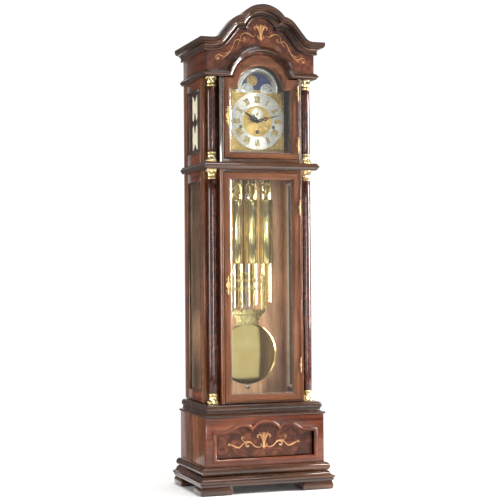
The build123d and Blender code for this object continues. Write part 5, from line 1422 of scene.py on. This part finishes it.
def make_weights():
    """Three brass weights, each hung from a pulley on a steel line."""
    for name in ("left", "centre", "right"):
        body, pulley = "weight_" + name, "pulley_" + name
        weight, wheel, line = span(body), span(pulley), span("cable_" + name)
        x, depth = (weight.left + weight.right) / 2, (weight.back + weight.front) / 2
        z = (wheel.low + wheel.high) / 2
        shell = post(x, depth, weight_profile(weight.low), 72)
        piece("weight_shell_" + name, shell, "weight_brass", body, body, sharp=50)
        piece("weight_stirrup_" + name, stirrup(x, depth, z), "gilt_smooth", body)
        piece("filigree_pulley_" + name, filigree_wheel(x, depth, z), "gilt_smooth", pulley, pulley)
        # One fall runs up to the drum and the other to the seatboard.
        tops = (SEATBOARD_TOP, line.high) if name == "right" else (line.high, SEATBOARD_TOP)
        falls = []
        for fall_x, top in zip((line.left + 0.8, line.right - 0.8), tops):
            rings = [(0.8, line.low + (top - line.low) * i / 8) for i in range(9)]
            falls.append(post(fall_x, depth, rings, 10))
        cable = piece("steel_cable_" + name, join(*falls), "cable_steel", None, "cable_" + name)
        at(x, depth, SEATBOARD_TOP)
        at(x, depth, line.low + 4)
        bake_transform(cable)


# ---- Stage and light -----------------------------------------------------------------------------
def make_stage():
    """A plain pale floor under the clock and behind it."""
    steps = 12
    across = [-1.8 + 3.8 * i / steps for i in range(steps + 1)]
    deep = [-1.2 + 1.7 * i / steps for i in range(steps + 1)]
    bm = loft([[Vector((x, y, 0)) for y in deep] for x in across])
    mesh = bpy.data.meshes.new("studio_floor")
    bm.to_mesh(mesh)
    bm.free()
    floor = bpy.data.objects.new("studio_floor", mesh)
    bpy.context.scene.collection.objects.link(floor)
    material, tree, shader, coords = blank("pale_floor", roughness=0.8, specular_ior_level=0.1)
    cloud = noise(tree, coords, 1.2, 2.0)
    pale = ramp(tree, cloud, (0.3, (0.88, 0.88, 0.87, 1)), (0.7, (0.92, 0.92, 0.92, 1)))
    tree.links.new(pale, shader.inputs["Base Color"])
    mesh.materials.append(material)


def lamp(name, place, target, size, power, colour=(1, 1, 1), spread_angle=180.0):
    data = bpy.data.lights.new(name, "AREA")
    data.shape = "RECTANGLE"
    data.size, data.size_y = size
    data.energy = power
    data.color = colour
    data.spread = radians(spread_angle)
    made = bpy.data.objects.new(name, data)
    made.location = place
    aim = Vector(target) - Vector(place)
    made.rotation_euler = aim.to_track_quat("-Z", "Y").to_euler()
    bpy.context.scene.collection.objects.link(made)


def make_light():
    """A raking key from the right, a fill on the left side, soft cards in front and a high light."""
    chest, top = (0, 0, 1.1), (0, -0.2, 2.0)
    lamp("key", (2.3, -0.98, 1.45), (0, 0, 1.15), (0.25, 1.7), 170, (1.0, 0.97, 0.92))
    lamp("left_fill", (-6.0, 0.5, 1.6), chest, (2.5, 3.0), 240, (1.0, 0.98, 0.95))
    lamp("front_card", (1.2, -8.4, 1.3), chest, (6.4, 6.4), 92)
    lamp("left_card", (-4.6, -4.8, 1.2), chest, (2.2, 4.0), 36)
    lamp("right_card", (5.6, -4.2, 1.2), chest, (2.2, 4.0), 44)
    lamp("case_lamp", (-0.45, -2.7, 1.0), (0, 0, 0.98), (0.2, 1.5), 1.1, spread_angle=24.0)
    lamp("dial_lamp", (-0.2, -2.6, 1.75), (0, 0, 1.66), (0.2, 0.2), 0.12, spread_angle=12.0)
    lamp("crown_spark", (2.4, -3.4, 4.2), top, (0.12, 0.5), 26)
    lamp("bead_strip", (-0.4, -3.0, 5.0), top, (2.0, 0.15), 18)
    lamp("low_spark", (-3.0, -3.4, 0.5), top, (0.12, 0.6), 9)
    high = bpy.data.lights.new("high", "SUN")
    high.energy = 2.9
    high.angle = radians(40)
    overhead = bpy.data.objects.new("high", high)
    bpy.context.scene.collection.objects.link(overhead)
    make_world()
    bpy.context.scene.view_settings.view_transform = "Standard"


def make_world():
    """A grey studio with a white wall behind the clock and a little to its right."""
    world = bpy.data.worlds.new("studio")
    world.use_nodes = True
    tree = world.node_tree
    background = tree.nodes["Background"]
    background.inputs["Color"].default_value = (1, 1, 1, 1)
    coords = add(tree, "TexCoord").outputs["Generated"]
    turn = radians(19.3)
    toward = add(tree, "VectorMath", {1: (sin(turn), cos(turn), 0)}, {0: coords}, operation="DOT_PRODUCT")
    wall = add(tree, "MapRange", {"From Min": 0.90, "From Max": 0.955, "To Min": 0.12, "To Max": 1.1},
               {"Value": toward.outputs["Value"]})
    tree.links.new(wall.outputs["Result"], background.inputs["Strength"])
    bpy.context.scene.world = world


make_base()
make_carcass()
make_columns()
make_crown()
make_cornice()
make_inlays()
make_doors()
make_brassware()
make_frets()
make_dial()
make_moon()
make_hands()
make_pendulum()
make_weights()
make_stage()
make_light()
